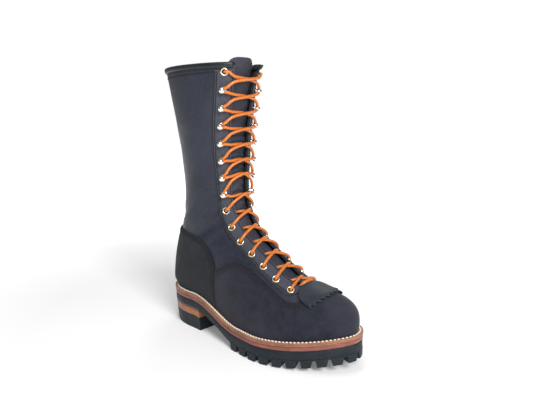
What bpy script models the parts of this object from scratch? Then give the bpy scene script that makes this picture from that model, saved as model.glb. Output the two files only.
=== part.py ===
"""Right-foot logger boot, as the separate pieces that a bootmaker puts together.

Metres, +Z up, toe towards +X, medial side towards +Y. The pieces are worked out in last
coordinates, where X runs from the back edge of the welt (0) to its toe (SOLE_LENGTH).
Each object is then placed so that the origin is the centre of the heel on the floor.
"""

import math
from functools import lru_cache

import bmesh
import bpy
import numpy as np
from mathutils import Matrix, Vector

# Overall sizes
SOLE_LENGTH = 0.315
BALL_WIDTH = 0.116
HEEL_LENGTH = 0.084
SHAFT_HEIGHT = 0.304
INSTEP_HEIGHT = 0.163
CALF_WIDTH = 0.096
WELT_MARGIN = 0.008
WELT_CLEARANCE = 0.0008
GAP = 0.0003

# Thicknesses of the sole's layers, from the floor up
HEEL_RUBBER = 0.020
HEEL_LIFT = 0.0085
HEEL_SLIP = 0.0028
OUTSOLE_SHANK = 0.010
OUTSOLE_FORE = 0.013
LUG_DEPTH = 0.008
MIDSOLE = 0.005
WELT = 0.0042
INSOLE = 0.004
INSOLE_CLEARANCE = 0.0012
TOE_SPRING = 0.014
SPRING_START = 0.66
SPRING_POWER = 1.8
SHANK_SLOPE = (0.22, 0.54)
THICKENING = (0.40, 0.52)
TREAD_START = 0.50

# Upper
WALL = 0.0024
OVERLAY = 0.0014
COUNTER_LEATHER = 0.0019
COUNTER_GAP = 0.0009
FACING_LEATHER = 0.0012
OVERLAY_GAP = 0.0006
FACING_WIDTH = 0.0255
FACING_TOP_ROW = 29.72
BACKSTAY_WIDTH = 0.020
BINDING = 0.0015
BINDING_DROP = 0.0048
TONGUE = 0.0024
TONGUE_DEPTH = 0.0054
TONGUE_OVERLAP = 0.014
KILTIE = 0.0018
KILTIE_TEETH = 9
KILTIE_TOOTH = 0.0040

# Hardware and lace
EYELET_COUNT = 7
HOOK_COUNT = 7
EYELET_PITCH = 0.0236
TOP_EYELET_DROP = 0.0098
FIRST_EYELET = 0.0105
HARDWARE_GAP = 0.0006
EYELET_OUTER = 0.0046
EYELET_BORE = 0.0027
EYELET_HEIGHT = 0.0012
HOOK_BASE = 0.0042
HOOK_PLATE = 0.0010
HOOK_RISE = 0.0064
HOOK_REACH = 0.0050
HOOK_WIDTH = 0.0040
LACE_DIAMETER = 0.0040
LACE_HEIGHT = 0.0055
LACE_TURN = 0.0072

# Tread
LUG_PITCH = 0.0182
LUG_INSET = 0.0004
LUG_REACH = 0.022
LUG_AT_FLOOR = 0.60
LUG_AT_ROOT = 0.82
CENTRE_LUG_PITCH = 0.022
CENTRE_LUG_LENGTH = 0.013
CENTRE_LUG_CLEAR = 0.030
CENTRE_LUG_POINT = 0.0023
LUG_SINK = 0.002
LUG_INNER_SHARE = 0.8
HEEL_GROOVE = (0.004, 0.0035, 0.042)
HEEL_GROOVE_PITCH = 0.018
HEEL_GROOVE_PLACES = (-1.5, -0.5, 0.5, 1.5)
OUTER_GROOVE_SHARE = 0.8

# Mesh densities
OUTLINE_STEPS = 24
COLUMN_SHARES = (0.0, 0.125, 0.25, 0.375, 0.50, 0.63, 0.76, 0.88, 0.95, 1.0)
COLUMNS = len(COLUMN_SHARES) - 1
SECTION_STEPS = 24

# Plan of the welt: share of the length, then half widths as shares of the ball width
PLAN_COLUMNS = ("share", "lateral", "medial")
SOLE_PLAN = (
    (0.00, 0.000, 0.000),
    (0.03, 0.160, 0.160),
    (0.08, 0.262, 0.262),
    (0.15, 0.322, 0.316),
    (0.25, 0.342, 0.318),
    (0.35, 0.376, 0.310),
    (0.45, 0.422, 0.320),
    (0.55, 0.470, 0.388),
    (0.65, 0.505, 0.480),
    (0.75, 0.465, 0.512),
    (0.85, 0.364, 0.470),
    (0.92, 0.246, 0.392),
    (0.97, 0.118, 0.262),
    (1.00, -0.044, 0.044),
)

# Sections of the foot. sole: where the section meets the welt, front: its top point, both
# as shares of the feather line's length; rise: that point's height above the welt, as a
# share of the instep height; lateral and medial: half widths, as shares of the ball width;
# widest: share of the depth at which it is widest; crown and seat: how square the section
# is in front of and behind that; centre: the sideways shift, as a share of the ball width.
FOOT_COLUMNS = (
    "sole", "front", "rise", "lateral", "medial", "widest", "crown", "seat", "centre",
)
FOOT_SECTIONS = (
    (0.987, 1.000, 0.000, 0.00, 0.00, 12.0, 2.00, 2.0, 0.050),
    (0.967, 1.005, 0.056, 0.00, 0.00, 4.60, 2.05, 2.0, 0.055),
    (0.940, 1.000, 0.122, 0.00, 0.00, 2.60, 2.15, 2.0, 0.055),
    (0.906, 0.982, 0.187, 0.00, 0.00, 1.75, 2.25, 2.0, 0.052),
    (0.863, 0.944, 0.245, 0.00, 0.00, 1.30, 2.25, 2.0, 0.046),
    (0.813, 0.888, 0.292, 0.00, 0.00, 1.05, 2.15, 2.0, 0.036),
    (0.756, 0.818, 0.330, 0.425, 0.465, 0.90, 2.00, 2.0, 0.026),
    (0.692, 0.757, 0.384, 0.455, 0.440, 0.84, 1.90, 2.1, 0.016),
    (0.622, 0.693, 0.464, 0.450, 0.400, 0.79, 1.87, 2.1, 0.008),
    (0.549, 0.629, 0.548, 0.430, 0.370, 0.73, 1.88, 2.1, 0.003),
    (0.468, 0.572, 0.624, 0.400, 0.350, 0.67, 1.90, 2.1, 0.003),
    (0.381, 0.523, 0.688, 0.375, 0.340, 0.62, 1.90, 2.2, 0.000),
    (0.291, 0.487, 0.750, 0.355, 0.335, 0.58, 1.90, 2.2, 0.000),
    (0.201, 0.463, 0.806, 0.345, 0.335, 0.56, 1.92, 2.3, 0.000),
    (0.127, 0.450, 0.853, 0.340, 0.334, 0.54, 1.95, 2.3, 0.000),
    (0.074, 0.441, 0.893, 0.337, 0.333, 0.53, 1.97, 2.3, 0.000),
    (0.036, 0.436, 0.932, 0.335, 0.332, 0.52, 2.00, 2.3, 0.000),
    (0.012, 0.432, 0.967, 0.333, 0.331, 0.52, 2.00, 2.3, 0.000),
    (0.000, 0.430, 1.000, 0.332, 0.330, 0.51, 2.00, 2.2, 0.000),
)

# Sections of the leg. back and front: shares of the feather line's length; back_rise and
# front_rise: heights above the welt at the heel, as shares of the shaft height; width:
# half width as a share of the calf width; crown and seat as above.
LEG_COLUMNS = ("back", "back_rise", "front", "front_rise", "width", "crown", "seat")
LEG_SECTIONS = (
    (0.003, 0.045, 0.429, 0.525, 0.400, 2.00, 2.15),
    (0.014, 0.104, 0.428, 0.547, 0.400, 2.00, 2.10),
    (0.036, 0.170, 0.428, 0.568, 0.402, 2.00, 2.05),
    (0.062, 0.236, 0.428, 0.591, 0.405, 2.00, 2.00),
    (0.084, 0.305, 0.428, 0.617, 0.410, 2.00, 1.95),
    (0.099, 0.380, 0.429, 0.647, 0.415, 2.00, 1.92),
    (0.105, 0.466, 0.431, 0.683, 0.424, 2.00, 1.92),
    (0.102, 0.558, 0.434, 0.726, 0.438, 2.00, 1.95),
    (0.091, 0.657, 0.440, 0.779, 0.456, 2.02, 1.98),
    (0.070, 0.769, 0.452, 0.844, 0.474, 2.05, 2.00),
    (0.040, 0.884, 0.465, 0.920, 0.488, 2.08, 2.00),
    (0.008, 1.000, 0.480, 1.002, 0.500, 2.10, 2.00),
)
LAST_ROW = len(FOOT_SECTIONS) + len(LEG_SECTIONS) - 1
HEEL_ROW = len(FOOT_SECTIONS) - 1
GRID_ROWS = sorted([float(row) for row in range(LAST_ROW + 2)] + [10.5, 11.5, 12.5, 13.5])
SECTION_DEPTH_LEG = 0.50

# Seams, each a row of the last and a distance or a share of the way round from the front
THROAT_ROWS = (5.4, 6.4, 7.4, 10, 14, 20, 26, 30)
THROAT_HALF = (0.0, 0.0090, 0.0125, 0.0140, 0.0152, 0.0162, 0.0170, 0.0186)
FACING_END_ROWS = (6.3, 6.4, 6.6, 6.85, 7.15)
VAMP_ROWS = (5, 6, 7, 8, 9, 10, 11, 12)
VAMP_SHARE = (0.0, 0.420, 0.470, 0.465, 0.435, 0.405, 0.435, 0.560)
COUNTER_ROWS = (11, 23)
SEAM_SHARE_GAP = 0.012
BACKSTAY_RISE = 0.12

# Rows, half widths and height of the tongue, and the leaf of the kiltie
TONGUE_ROWS = (6.6, 7.5, 8.5, 10, 11.5, 13, 15, 17, 19, 20, 21, 22, 23, 24, 25, 26, 27, 28, 29, 30, 30.32, 30.46)
TONGUE_TOP_NARROWING = {30.32: 0.9, 30.46: 0.62}
TONGUE_ACROSS = (-1.0, -0.5, 0.0, 0.5, 1.0)
KILTIE_RINGS = (
    (7.4, 0.0075, -0.0018),
    (7.0, 0.0080, -0.0010),
    (6.6, 0.0092, 0.0022),
    (6.1, 0.0170, 0.0030),
    (5.5, 0.0255, 0.0028),
    (5.0, 0.0295, 0.0026),
)

# The counter's edge seen from the side. up: height above the welt at the heel, as a share of
# the shaft height; along: distance from the back, as a share of the sole's length.
COUNTER_COLUMNS = ("up", "along")
COUNTER_EDGE = (
    (-0.080, 0.387),
    (0.024, 0.390),
    (0.090, 0.392),
    (0.146, 0.389),
    (0.182, 0.378),
    (0.212, 0.359),
    (0.243, 0.330),
    (0.262, 0.300),
    (0.276, 0.258),
    (0.287, 0.200),
    (0.297, 0.145),
    (0.306, 0.098),
)

LATERAL, MEDIAL = -1, 1
SIDES = {"lateral": LATERAL, "medial": MEDIAL}

MATERIALS = {
    "smooth_leather": ((0.020, 0.021, 0.028), 0.42, 0.0),
    "roughout_leather": ((0.022, 0.021, 0.026), 0.78, 0.0),
    "welt_leather": ((0.56, 0.33, 0.17), 0.55, 0.0),
    "midsole_leather": ((0.38, 0.13, 0.06), 0.50, 0.0),
    "lift_leather": ((0.52, 0.22, 0.08), 0.55, 0.0),
    "slip_leather": ((0.30, 0.16, 0.05), 0.55, 0.0),
    "rubber": ((0.012, 0.018, 0.022), 0.62, 0.0),
    "insole_leather": ((0.42, 0.28, 0.17), 0.70, 0.0),
    "lace_cord": ((0.76, 0.25, 0.05), 0.60, 0.0),
    "eyelet_brass": ((0.90, 0.80, 0.58), 0.25, 1.0),
    "hook_nickel": ((0.85, 0.85, 0.80), 0.20, 1.0),
}


def smoothstep(value):
    """0 below 0, 1 above 1, and a smooth rise between."""
    held = np.clip(value, 0.0, 1.0)
    return held * held * (3.0 - 2.0 * held)


def columns(names, table):
    """The table's columns as arrays, by name."""
    return dict(zip(names, np.array(table, float).T))


def curve_through(knots, values, at):
    """A smooth curve through the knots, read at the places in `at`; straight beyond its ends."""
    knots = np.asarray(knots, float)
    values = np.asarray(values, float)
    flat = values.ndim == 1
    if flat:
        values = values[:, None]
    at = np.atleast_1d(np.asarray(at, float))
    spans = np.diff(knots)[:, None]
    slopes = np.diff(values, axis=0) / spans
    tangents = np.empty_like(values)
    tangents[0] = slopes[0]
    tangents[-1] = slopes[-1]
    tangents[1:-1] = (spans[:-1] * slopes[1:] + spans[1:] * slopes[:-1]) / (spans[:-1] + spans[1:])
    index = np.clip(np.searchsorted(knots, at, side="right") - 1, 0, len(knots) - 2)
    width = spans[index]
    share = np.clip((at - knots[index])[:, None] / width, 0.0, 1.0)
    rest = (at[:, None] - knots[index][:, None]) - share * width
    end_slope = np.where(rest < 0, tangents[index], tangents[index + 1])
    low, high = values[index], values[index + 1]
    cubic = (
        low * (1 + 2 * share) * (1 - share) ** 2
        + tangents[index] * width * share * (1 - share) ** 2
        + high * share**2 * (3 - 2 * share)
        + tangents[index + 1] * width * share**2 * (share - 1)
    )
    result = cubic + end_slope * rest
    return result[:, 0] if flat else result


# Heights along the sole


def spring(x):
    """Height of the tread above the floor towards the toe."""
    share = np.asarray(x, float) / SOLE_LENGTH
    return TOE_SPRING * np.clip((share - SPRING_START) / (1 - SPRING_START), 0, None) ** SPRING_POWER


def midsole_underside(x):
    """Height of the top of the rubber, from the heel over the shank to the toe."""
    share = np.asarray(x, float) / SOLE_LENGTH
    heel = HEEL_RUBBER + HEEL_LIFT + HEEL_SLIP + OUTSOLE_SHANK + 4 * GAP
    fore = LUG_DEPTH + OUTSOLE_FORE + GAP
    start, end = SHANK_SLOPE
    return heel + (fore - heel) * smoothstep((share - start) / (end - start)) + spring(x)


def outsole_underside(x):
    """Height of the underside of the rubber between its lugs."""
    share = np.asarray(x, float) / SOLE_LENGTH
    start, end = THICKENING
    thickness = OUTSOLE_SHANK + (OUTSOLE_FORE - OUTSOLE_SHANK) * smoothstep((share - start) / (end - start))
    return midsole_underside(x) - GAP - thickness


def midsole_top(x):
    """Height of the face that the welt, insole and upper stand on."""
    return midsole_underside(x) + MIDSOLE


def feather_height(x):
    """Height at which the upper leaves the welt."""
    return midsole_top(x) + WELT + 3 * GAP


# Plan of the sole


def inset_loop(loop, inset):
    """The closed loop moved inwards by `inset` along its corners' bisectors."""
    before = loop - np.roll(loop, 1, axis=0)
    after = np.roll(loop, -1, axis=0) - loop
    normals = []
    for edge in (before, after):
        length = np.linalg.norm(edge, axis=1)[:, None]
        normals.append(np.stack([-edge[:, 1], edge[:, 0]], axis=1) / length)
    bisector = normals[0] + normals[1]
    bisector /= np.linalg.norm(bisector, axis=1)[:, None]
    stretch = np.sum(bisector * normals[0], axis=1)[:, None]
    return loop + bisector * inset / stretch


def sole_loop(inset=0.0, steps=OUTLINE_STEPS):
    """The welt's outline, inset: heel, lateral side, toe, medial side."""
    plan = columns(PLAN_COLUMNS, SOLE_PLAN)
    turn = np.arccos(1 - 2 * plan["share"])
    theta = np.linspace(0.0, math.pi, steps + 1)
    halves = np.stack([plan["lateral"], plan["medial"]], axis=1) * BALL_WIDTH
    half = curve_through(turn, halves, theta)
    x = SOLE_LENGTH * (1 - np.cos(theta)) / 2
    lateral = np.stack([x, -half[:, 0]], axis=1)
    medial = np.stack([x, half[:, 1]], axis=1)[-2:0:-1]
    return inset_loop(np.vstack([lateral, medial]), inset)


@lru_cache(maxsize=None)
def outline_halves(inset, steps=160):
    """The inset outline's lateral and medial halves, both from the heel to the toe."""
    loop = sole_loop(inset, steps)
    return loop[: steps + 1], np.vstack([loop[steps:], loop[:1]])[::-1]


def outline_sides(x, inset):
    """Lateral and medial Y of the inset outline at x."""
    return tuple(np.interp(x, half[:, 0], half[:, 1]) for half in outline_halves(inset))


FEATHER_BACK = WELT_MARGIN
FEATHER_LENGTH = SOLE_LENGTH - 2 * WELT_MARGIN


# The last: sections of the foot and leg, read at any row and any distance round


def section_values(rows):
    """Front point, back point, half widths and shape of the sections at these rows."""
    foot = columns(FOOT_COLUMNS, FOOT_SECTIONS)
    leg = columns(LEG_COLUMNS, LEG_SECTIONS)
    foot_x = FEATHER_BACK + FEATHER_LENGTH * foot["sole"]
    front_x = FEATHER_BACK + FEATHER_LENGTH * foot["front"]
    front_z = feather_height(np.minimum(front_x, SOLE_LENGTH)) + INSTEP_HEIGHT * foot["rise"]
    heel_z = float(feather_height(0.0))
    unset = np.zeros(len(FOOT_SECTIONS))
    feet = np.stack(
        [
            front_x, front_z, foot_x, feather_height(foot_x), foot["centre"] * BALL_WIDTH,
            foot["lateral"] * BALL_WIDTH, foot["medial"] * BALL_WIDTH,
            unset, unset, foot["widest"], foot["crown"], foot["seat"],
        ],
        axis=1,
    )
    nothing = np.zeros(len(LEG_SECTIONS))
    leg_half = leg["width"] * CALF_WIDTH
    legs = np.stack(
        [
            FEATHER_BACK + FEATHER_LENGTH * leg["front"], heel_z + SHAFT_HEIGHT * leg["front_rise"],
            FEATHER_BACK + FEATHER_LENGTH * leg["back"], heel_z + SHAFT_HEIGHT * leg["back_rise"],
            nothing, leg_half, leg_half, nothing, nothing,
            nothing + SECTION_DEPTH_LEG, leg["crown"], leg["seat"],
        ],
        axis=1,
    )
    every = np.vstack([feet, legs])
    found = curve_through(np.arange(len(every)), every, rows)
    foot_rows = np.asarray(rows, float) <= HEEL_ROW
    x = found[foot_rows, 2]
    sides = outline_sides(x, WELT_MARGIN)
    found[foot_rows, 3] = feather_height(x)
    found[foot_rows, 7] = found[foot_rows, 4] - sides[0]
    found[foot_rows, 8] = sides[1] - found[foot_rows, 4]
    found[:, 7:9] = np.maximum(found[:, 7:9], 0.0)
    return found


def section_curve(values, side):
    """One half of a section, from the front to the feather line or the back: points and distances."""
    front_x, front_z, back_x, back_z, centre = values[:5]
    widest, crown, seat = values[9:12]
    bottom = values[7] if side == LATERAL else values[8]
    half = values[5] if side == LATERAL else values[6]
    if widest >= 1.0:
        reach = math.acos((1 - 1 / widest) ** (crown / 2))
        half = bottom / math.sin(reach) ** (2 / crown)
        turn = np.linspace(0, reach, 2 * SECTION_STEPS)
        depth = widest * (1 - np.cos(turn) ** (2 / crown))
        width = half * np.sin(turn) ** (2 / crown)
    else:
        half = max(half, bottom)
        turn = np.linspace(0, math.pi / 2, SECTION_STEPS)
        reach = max(math.acos(min(1.0, bottom / half) ** (seat / 2)), 1e-3)
        under = np.linspace(0, reach, SECTION_STEPS)[1:]
        depth = np.concatenate(
            [
                widest * (1 - np.cos(turn) ** (2 / crown)),
                widest + (1 - widest) * (np.sin(under) / math.sin(reach)) ** (2 / seat),
            ]
        )
        width = np.concatenate([half * np.sin(turn) ** (2 / crown), half * np.cos(under) ** (2 / seat)])
    points = np.stack(
        [front_x + depth * (back_x - front_x), centre + side * width, front_z + depth * (back_z - front_z)],
        axis=1,
    )
    steps = np.linalg.norm(np.diff(points, axis=0), axis=1)
    return points, np.concatenate([[0.0], np.cumsum(steps)])


def last_points(row, side, places):
    """Points of the last at one row, at these shares of the way round."""
    points, distance = section_curve(section_values([row])[0], side)
    wanted = np.asarray(places, float) * distance[-1]
    return np.stack([np.interp(wanted, distance, points[:, axis]) for axis in range(3)], axis=1)


def last_normals(row, side, places):
    """Outward unit normals of the last at these shares of the way round."""
    small = 0.02
    places = np.asarray(places, float)
    low, high = np.clip(places - small, 0, 1), np.clip(places + small, 0, 1)
    around = last_points(row, side, high) - last_points(row, side, low)
    up, down = row + small, max(row - small, 0.0)
    along = last_points(up, side, places) - last_points(down, side, places)
    normals = np.cross(along, around) * -side
    on_front = places < 1e-6
    normals[on_front, 1] = 0.0
    on_back = (places > 1 - 1e-6) & (row > HEEL_ROW)
    normals[on_back, 1] = 0.0
    return normals / np.linalg.norm(normals, axis=1)[:, None]


def half_length(row, side):
    """Distance from the front to the feather line or the back."""
    return section_curve(section_values([row])[0], side)[1][-1]


def throat_distance(row):
    """Half the throat's opening at a row, along the surface."""
    return float(curve_through(THROAT_ROWS, THROAT_HALF, [row])[0]) if row > THROAT_ROWS[0] else 0.0


def throat_share(row, side):
    return throat_distance(row) / half_length(row, side)


def facing_share(row, side):
    """Share of the way round at which the facing's outer edge lies, rounded at its lower end."""
    along = (row - FACING_END_ROWS[0]) / (FACING_END_ROWS[-1] - FACING_END_ROWS[0])
    rounding = math.sqrt(1 - (1 - min(along + 0.1, 1.0)) ** 2)
    return (throat_distance(row) + FACING_WIDTH * rounding) / half_length(row, side)


def vamp_share(row, side):
    """Share of the way round at which the vamp's arched seam lies."""
    held = min(max(row, VAMP_ROWS[0]), VAMP_ROWS[-1])
    return float(curve_through(VAMP_ROWS, VAMP_SHARE, [held])[0])


@lru_cache(maxsize=None)
def counter_share(row, side):
    """Share of the way round at which a row passes behind the counter's edge, or 1."""
    points, distance = section_curve(section_values([row])[0], side)
    edge = columns(COUNTER_COLUMNS, COUNTER_EDGE)
    heights = float(feather_height(0.0)) + SHAFT_HEIGHT * edge["up"]
    ahead = points[:, 0] - SOLE_LENGTH * curve_through(heights, edge["along"], points[:, 2])
    behind = np.flatnonzero(ahead < 0)
    if not len(behind) or row <= COUNTER_ROWS[0]:
        return 1.0
    last = max(int(behind[0]), 1)
    step = ahead[last - 1] / (ahead[last - 1] - ahead[last])
    return float(distance[last - 1] + step * (distance[last] - distance[last - 1])) / distance[-1]


# Solids


def add_object(name, mesh, material, location=(-HEEL_LENGTH / 2, 0.0, 0.0), smooth=True):
    """An object of this mesh, in last coordinates unless a location is given."""
    if smooth:
        mesh.shade_smooth()
        mesh.set_sharp_from_angle(angle=math.radians(40))
    made = bpy.data.objects.new(name, mesh)
    made.location = location
    bpy.context.scene.collection.objects.link(made)
    if not mesh.materials:
        mesh.materials.append(bpy.data.materials[material])
    return made


def mesh_of(name, vertices, faces):
    """A closed mesh with its doubles merged and its faces pointing out."""
    work = bmesh.new()
    corners = [work.verts.new(Vector(p)) for p in vertices]
    for face in faces:
        distinct = list(dict.fromkeys(face))
        if len(distinct) > 2:
            try:
                work.faces.new([corners[i] for i in distinct])
            except ValueError:
                pass
    bmesh.ops.remove_doubles(work, verts=work.verts, dist=1e-6)
    bmesh.ops.dissolve_degenerate(work, edges=work.edges, dist=1e-7)
    loose = [v for v in work.verts if not v.link_faces]
    bmesh.ops.delete(work, geom=loose, context="VERTS")
    bmesh.ops.recalc_face_normals(work, faces=work.faces)
    mesh = bpy.data.meshes.new(name)
    work.to_mesh(mesh)
    work.free()
    return mesh


def clip(polygon, depth):
    """The part of a polygon of (row, share) places where `depth` isn't negative."""
    kept = []
    for here, there in zip(polygon, polygon[1:] + polygon[:1]):
        a, b = depth(here), depth(there)
        if a > -1e-9:
            kept.append(here)
        if min(a, b) < -1e-9 and max(a, b) > 1e-9:
            kept.append(here + (there - here) * a / (a - b))
    return kept


@lru_cache(maxsize=None)
def grid_row(row, side):
    """Points and normals of the last at one grid row, at each column."""
    shares = np.array(COLUMN_SHARES)
    points = last_points(row, side, shares)
    normals = last_normals(row, side, shares)
    if row == 0:
        normals[:, 2] = 0.0
    elif row <= HEEL_ROW:
        normals[-1, 2] = 0.0
    if row >= HEEL_ROW:
        normals[-1, 1] = points[-1, 1] = 0.0
    return points, normals / np.linalg.norm(normals, axis=1)[:, None]


def along_grid_row(row, side, shares, which):
    """Points (which = 0) or normals (1) at these shares, on the straight facets of a grid row."""
    values = grid_row(row, side)[which]
    return np.stack([np.interp(shares, COLUMN_SHARES, values[:, axis]) for axis in range(3)], axis=1)


class Skin:
    """A sheet of the last's own facets between two seams, thickened to a closed solid."""

    def __init__(self):
        self.points = []
        self.normals = []
        self.keys = {}
        self.feather = set()
        self.faces = []

    def vertex(self, key, point, normal):
        if key not in self.keys:
            self.keys[key] = len(self.points)
            self.points.append(point)
            self.normals.append(normal)
        return self.keys[key]

    def cover(self, rows, start, end, sides=(LATERAL, MEDIAL)):
        """Lays the sheet over these rows; start and end give the first and last share at a row."""
        for side in sides:
            for low, high in zip(rows, rows[1:]):
                below = max(i for i, row in enumerate(GRID_ROWS) if row <= low + 1e-9)
                band = GRID_ROWS[below], GRID_ROWS[below + 1]
                slopes = [(edge(low, side), edge(high, side)) for edge in (start, end)]
                for column in range(COLUMNS):
                    self.cover_cell(side, band, column, (low, high), slopes)

    def cover_cell(self, side, band, column, span, slopes):
        """Lays the two facets of one cell of the last, cut to the rows of `span` and the seams."""
        low, high = span

        def seam(which, row):
            first, last = slopes[which]
            return first + (last - first) * (row - low) / (high - low)

        corners = [(0, 0), (0, 1), (1, 1), (1, 0)]
        places = [np.array([band[i], COLUMN_SHARES[column + j]]) for i, j in corners]
        values = []
        for i, j in corners:
            points, normals = grid_row(band[i], side)
            values.append((points[column + j], normals[column + j]))
        for picks in ((0, 1, 2), (0, 2, 3)):
            polygon = [places[c] for c in picks]
            for depth in (
                lambda p: p[0] - low,
                lambda p: high - p[0],
                lambda p: p[1] - seam(0, p[0]),
                lambda p: seam(1, p[0]) - p[1],
            ):
                polygon = clip(polygon, depth)
            if len(polygon) < 3:
                continue
            face = [self.place(side, p, [places[c] for c in picks], [values[c] for c in picks]) for p in polygon]
            face = list(dict.fromkeys(face))
            if len(face) > 2:
                self.faces.append(tuple(face) if side == LATERAL else tuple(face[::-1]))

    def place(self, side, at, places, values):
        """The vertex at a place inside a facet, shared with the facets beside it."""
        spread = np.stack([places[1] - places[0], places[2] - places[0]], axis=1)
        b, c = np.linalg.solve(spread, at - places[0])
        weights = (1 - b - c, b, c)
        point, normal = (sum(w * v[k] for w, v in zip(weights, values)) for k in (0, 1))
        row, share = round(float(at[0]), 5), round(float(at[1]), 5)
        on_seam = share <= 0 or (share >= 1 and row >= HEEL_ROW)
        found = self.vertex((0 if on_seam else side, row, share), point, normal)
        if row == 0 or (share >= 1 and row <= HEEL_ROW):
            self.feather.add(found)
        return found

    def edges_used_once(self):
        count = {}
        for face in self.faces:
            for a, b in zip(face, face[1:] + face[:1]):
                count.setdefault(frozenset((a, b)), []).append((a, b))
        return [pairs[0] for pairs in count.values() if len(pairs) == 1]

    def drop_skirt(self, height):
        """Carries the feather edge straight down to the midsole."""
        edges = [(a, b) for a, b in self.edges_used_once() if a in self.feather and b in self.feather]
        lowered = {}
        for vertex in sorted({v for edge in edges for v in edge}):
            point = self.points[vertex] - np.array([0.0, 0.0, height])
            lowered[vertex] = self.vertex(("skirt", vertex), point, self.normals[vertex])
        for a, b in edges:
            self.faces.append((b, a, lowered[a], lowered[b]))

    def solid(self, name, inner, outer):
        """The closed mesh between two offsets along the normals."""
        points, normals = np.array(self.points), np.array(self.normals)
        count = len(points)
        vertices = np.vstack([points + normals * outer, points + normals * inner])
        faces = list(self.faces)
        faces += [tuple(v + count for v in reversed(f)) for f in self.faces]
        for a, b in self.edges_used_once():
            faces.append((b, a, a + count, b + count))
        return mesh_of(name, vertices, faces)


def ladder(name, stations, bottom_inset, top_inset, bottom, top):
    """A layer of the sole: stations along X, an outline inset at each face, and a height for each."""
    x = np.asarray(stations, float)
    low, high = outline_sides(x, bottom_inset), outline_sides(x, top_inset)
    vertices = []
    for i, place in enumerate(x):
        under, over = float(bottom(place)), float(top(place))
        vertices += [(place, low[0][i], under), (place, low[1][i], under)]
        vertices += [(place, high[1][i], over), (place, high[0][i], over)]
    faces = [(0, 1, 2, 3)]
    for i in range(len(x) - 1):
        near, far = 4 * i, 4 * i + 4
        for a, b in ((0, 1), (1, 2), (2, 3), (3, 0)):
            faces.append((near + a, near + b, far + b, far + a))
    end = 4 * (len(x) - 1)
    faces.append((end, end + 1, end + 2, end + 3))
    return mesh_of(name, vertices, faces)


def full_stations(inset, steps=OUTLINE_STEPS):
    """Stations along X that crowd towards the rounded ends of the inset outline."""
    theta = np.linspace(0.0, math.pi, steps + 1)
    return inset + (SOLE_LENGTH - 2 * inset) * (1 - np.cos(theta)) / 2


def heel_stations(inset, steps=11):
    """Stations from the rounded back of the heel to its flat breast."""
    theta = np.linspace(0.0, math.pi / 2, steps + 1)
    return inset + (HEEL_LENGTH - inset) * (1 - np.cos(theta))


def heel_layer(name, material, under, thickness, taper_top, taper_bottom, flat=False):
    """One layer of the heel stack; `under` is how far its top lies below the rubber sole."""
    def top(x):
        return outsole_underside(x) - under

    def bottom(x):
        return 0.0 if flat else outsole_underside(x) - under - thickness

    stations = heel_stations(max(taper_top, taper_bottom) + 1e-5)
    return add_object(name, ladder(name, stations, taper_bottom, taper_top, bottom, top), material)


def cut(target, cutter):
    """Takes the cutter's shape out of the target and removes the cutter."""
    apply_boolean(target, cutter, "DIFFERENCE")


def apply_boolean(target, other, operation):
    """Applies a Boolean with the other object, which is then removed."""
    modifier = target.modifiers.new("shape", "BOOLEAN")
    modifier.operation = operation
    modifier.object = other
    modifier.use_self = True
    bpy.context.view_layer.update()
    graph = bpy.context.evaluated_depsgraph_get()
    result = bpy.data.meshes.new_from_object(target.evaluated_get(graph))
    target.modifiers.clear()
    target.data = result
    bpy.data.objects.remove(other)


def prism(lower, upper):
    """Vertices and faces of a prism between two rings of equally many points."""
    count = len(lower)
    faces = [tuple(range(count))[::-1], tuple(range(count, 2 * count))]
    for i in range(count):
        follow = (i + 1) % count
        faces.append((i, follow, count + follow, count + i))
    return list(lower) + list(upper), faces


def joined_prisms(name, prisms):
    vertices, faces = [], []
    for points, corners in prisms:
        base = len(vertices)
        vertices += points
        faces += [tuple(base + c for c in face) for face in corners]
    return mesh_of(name, vertices, faces)


# Sub-parts of the sole


def tread_path():
    """The inset outline from the lateral waist round the toe to the medial waist, with distances."""
    loop = sole_loop(LUG_INSET, 120)
    kept = loop[loop[:, 0] > TREAD_START * SOLE_LENGTH]
    steps = np.linalg.norm(np.diff(kept, axis=0), axis=1)
    return kept, np.concatenate([[0.0], np.cumsum(steps)])


def edge_lugs():
    """Trapezoidal lugs side by side along the edge of the forefoot."""
    path, distance = tread_path()
    tangent = np.gradient(path, axis=0)
    inward = np.stack([-tangent[:, 1], tangent[:, 0]], axis=1)
    inward /= np.linalg.norm(inward, axis=1)[:, None]
    count = int(distance[-1] / LUG_PITCH)
    pitch = distance[-1] / count
    prisms = []
    for k in range(count):
        middle = (k + 0.5) * pitch
        rings = []
        for share in (LUG_AT_FLOOR, LUG_AT_ROOT):
            places = middle + np.array([-0.5, 0.0, 0.5]) * share * pitch
            outer = np.stack([np.interp(places, distance, path[:, a]) for a in (0, 1)], axis=1)
            way = np.stack([np.interp(places, distance, inward[:, a]) for a in (0, 1)], axis=1)
            inner = outer + way * LUG_REACH
            narrow = inner[1] + (inner[[2, 0]] - inner[1]) * LUG_INNER_SHARE
            rings.append(np.vstack([outer, narrow]))
        floor = [(x, y, float(spring(x))) for x, y in rings[0]]
        root = [(x, y, float(outsole_underside(x)) + LUG_SINK) for x, y in rings[1]]
        prisms.append(prism(floor, root))
    return prisms


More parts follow.
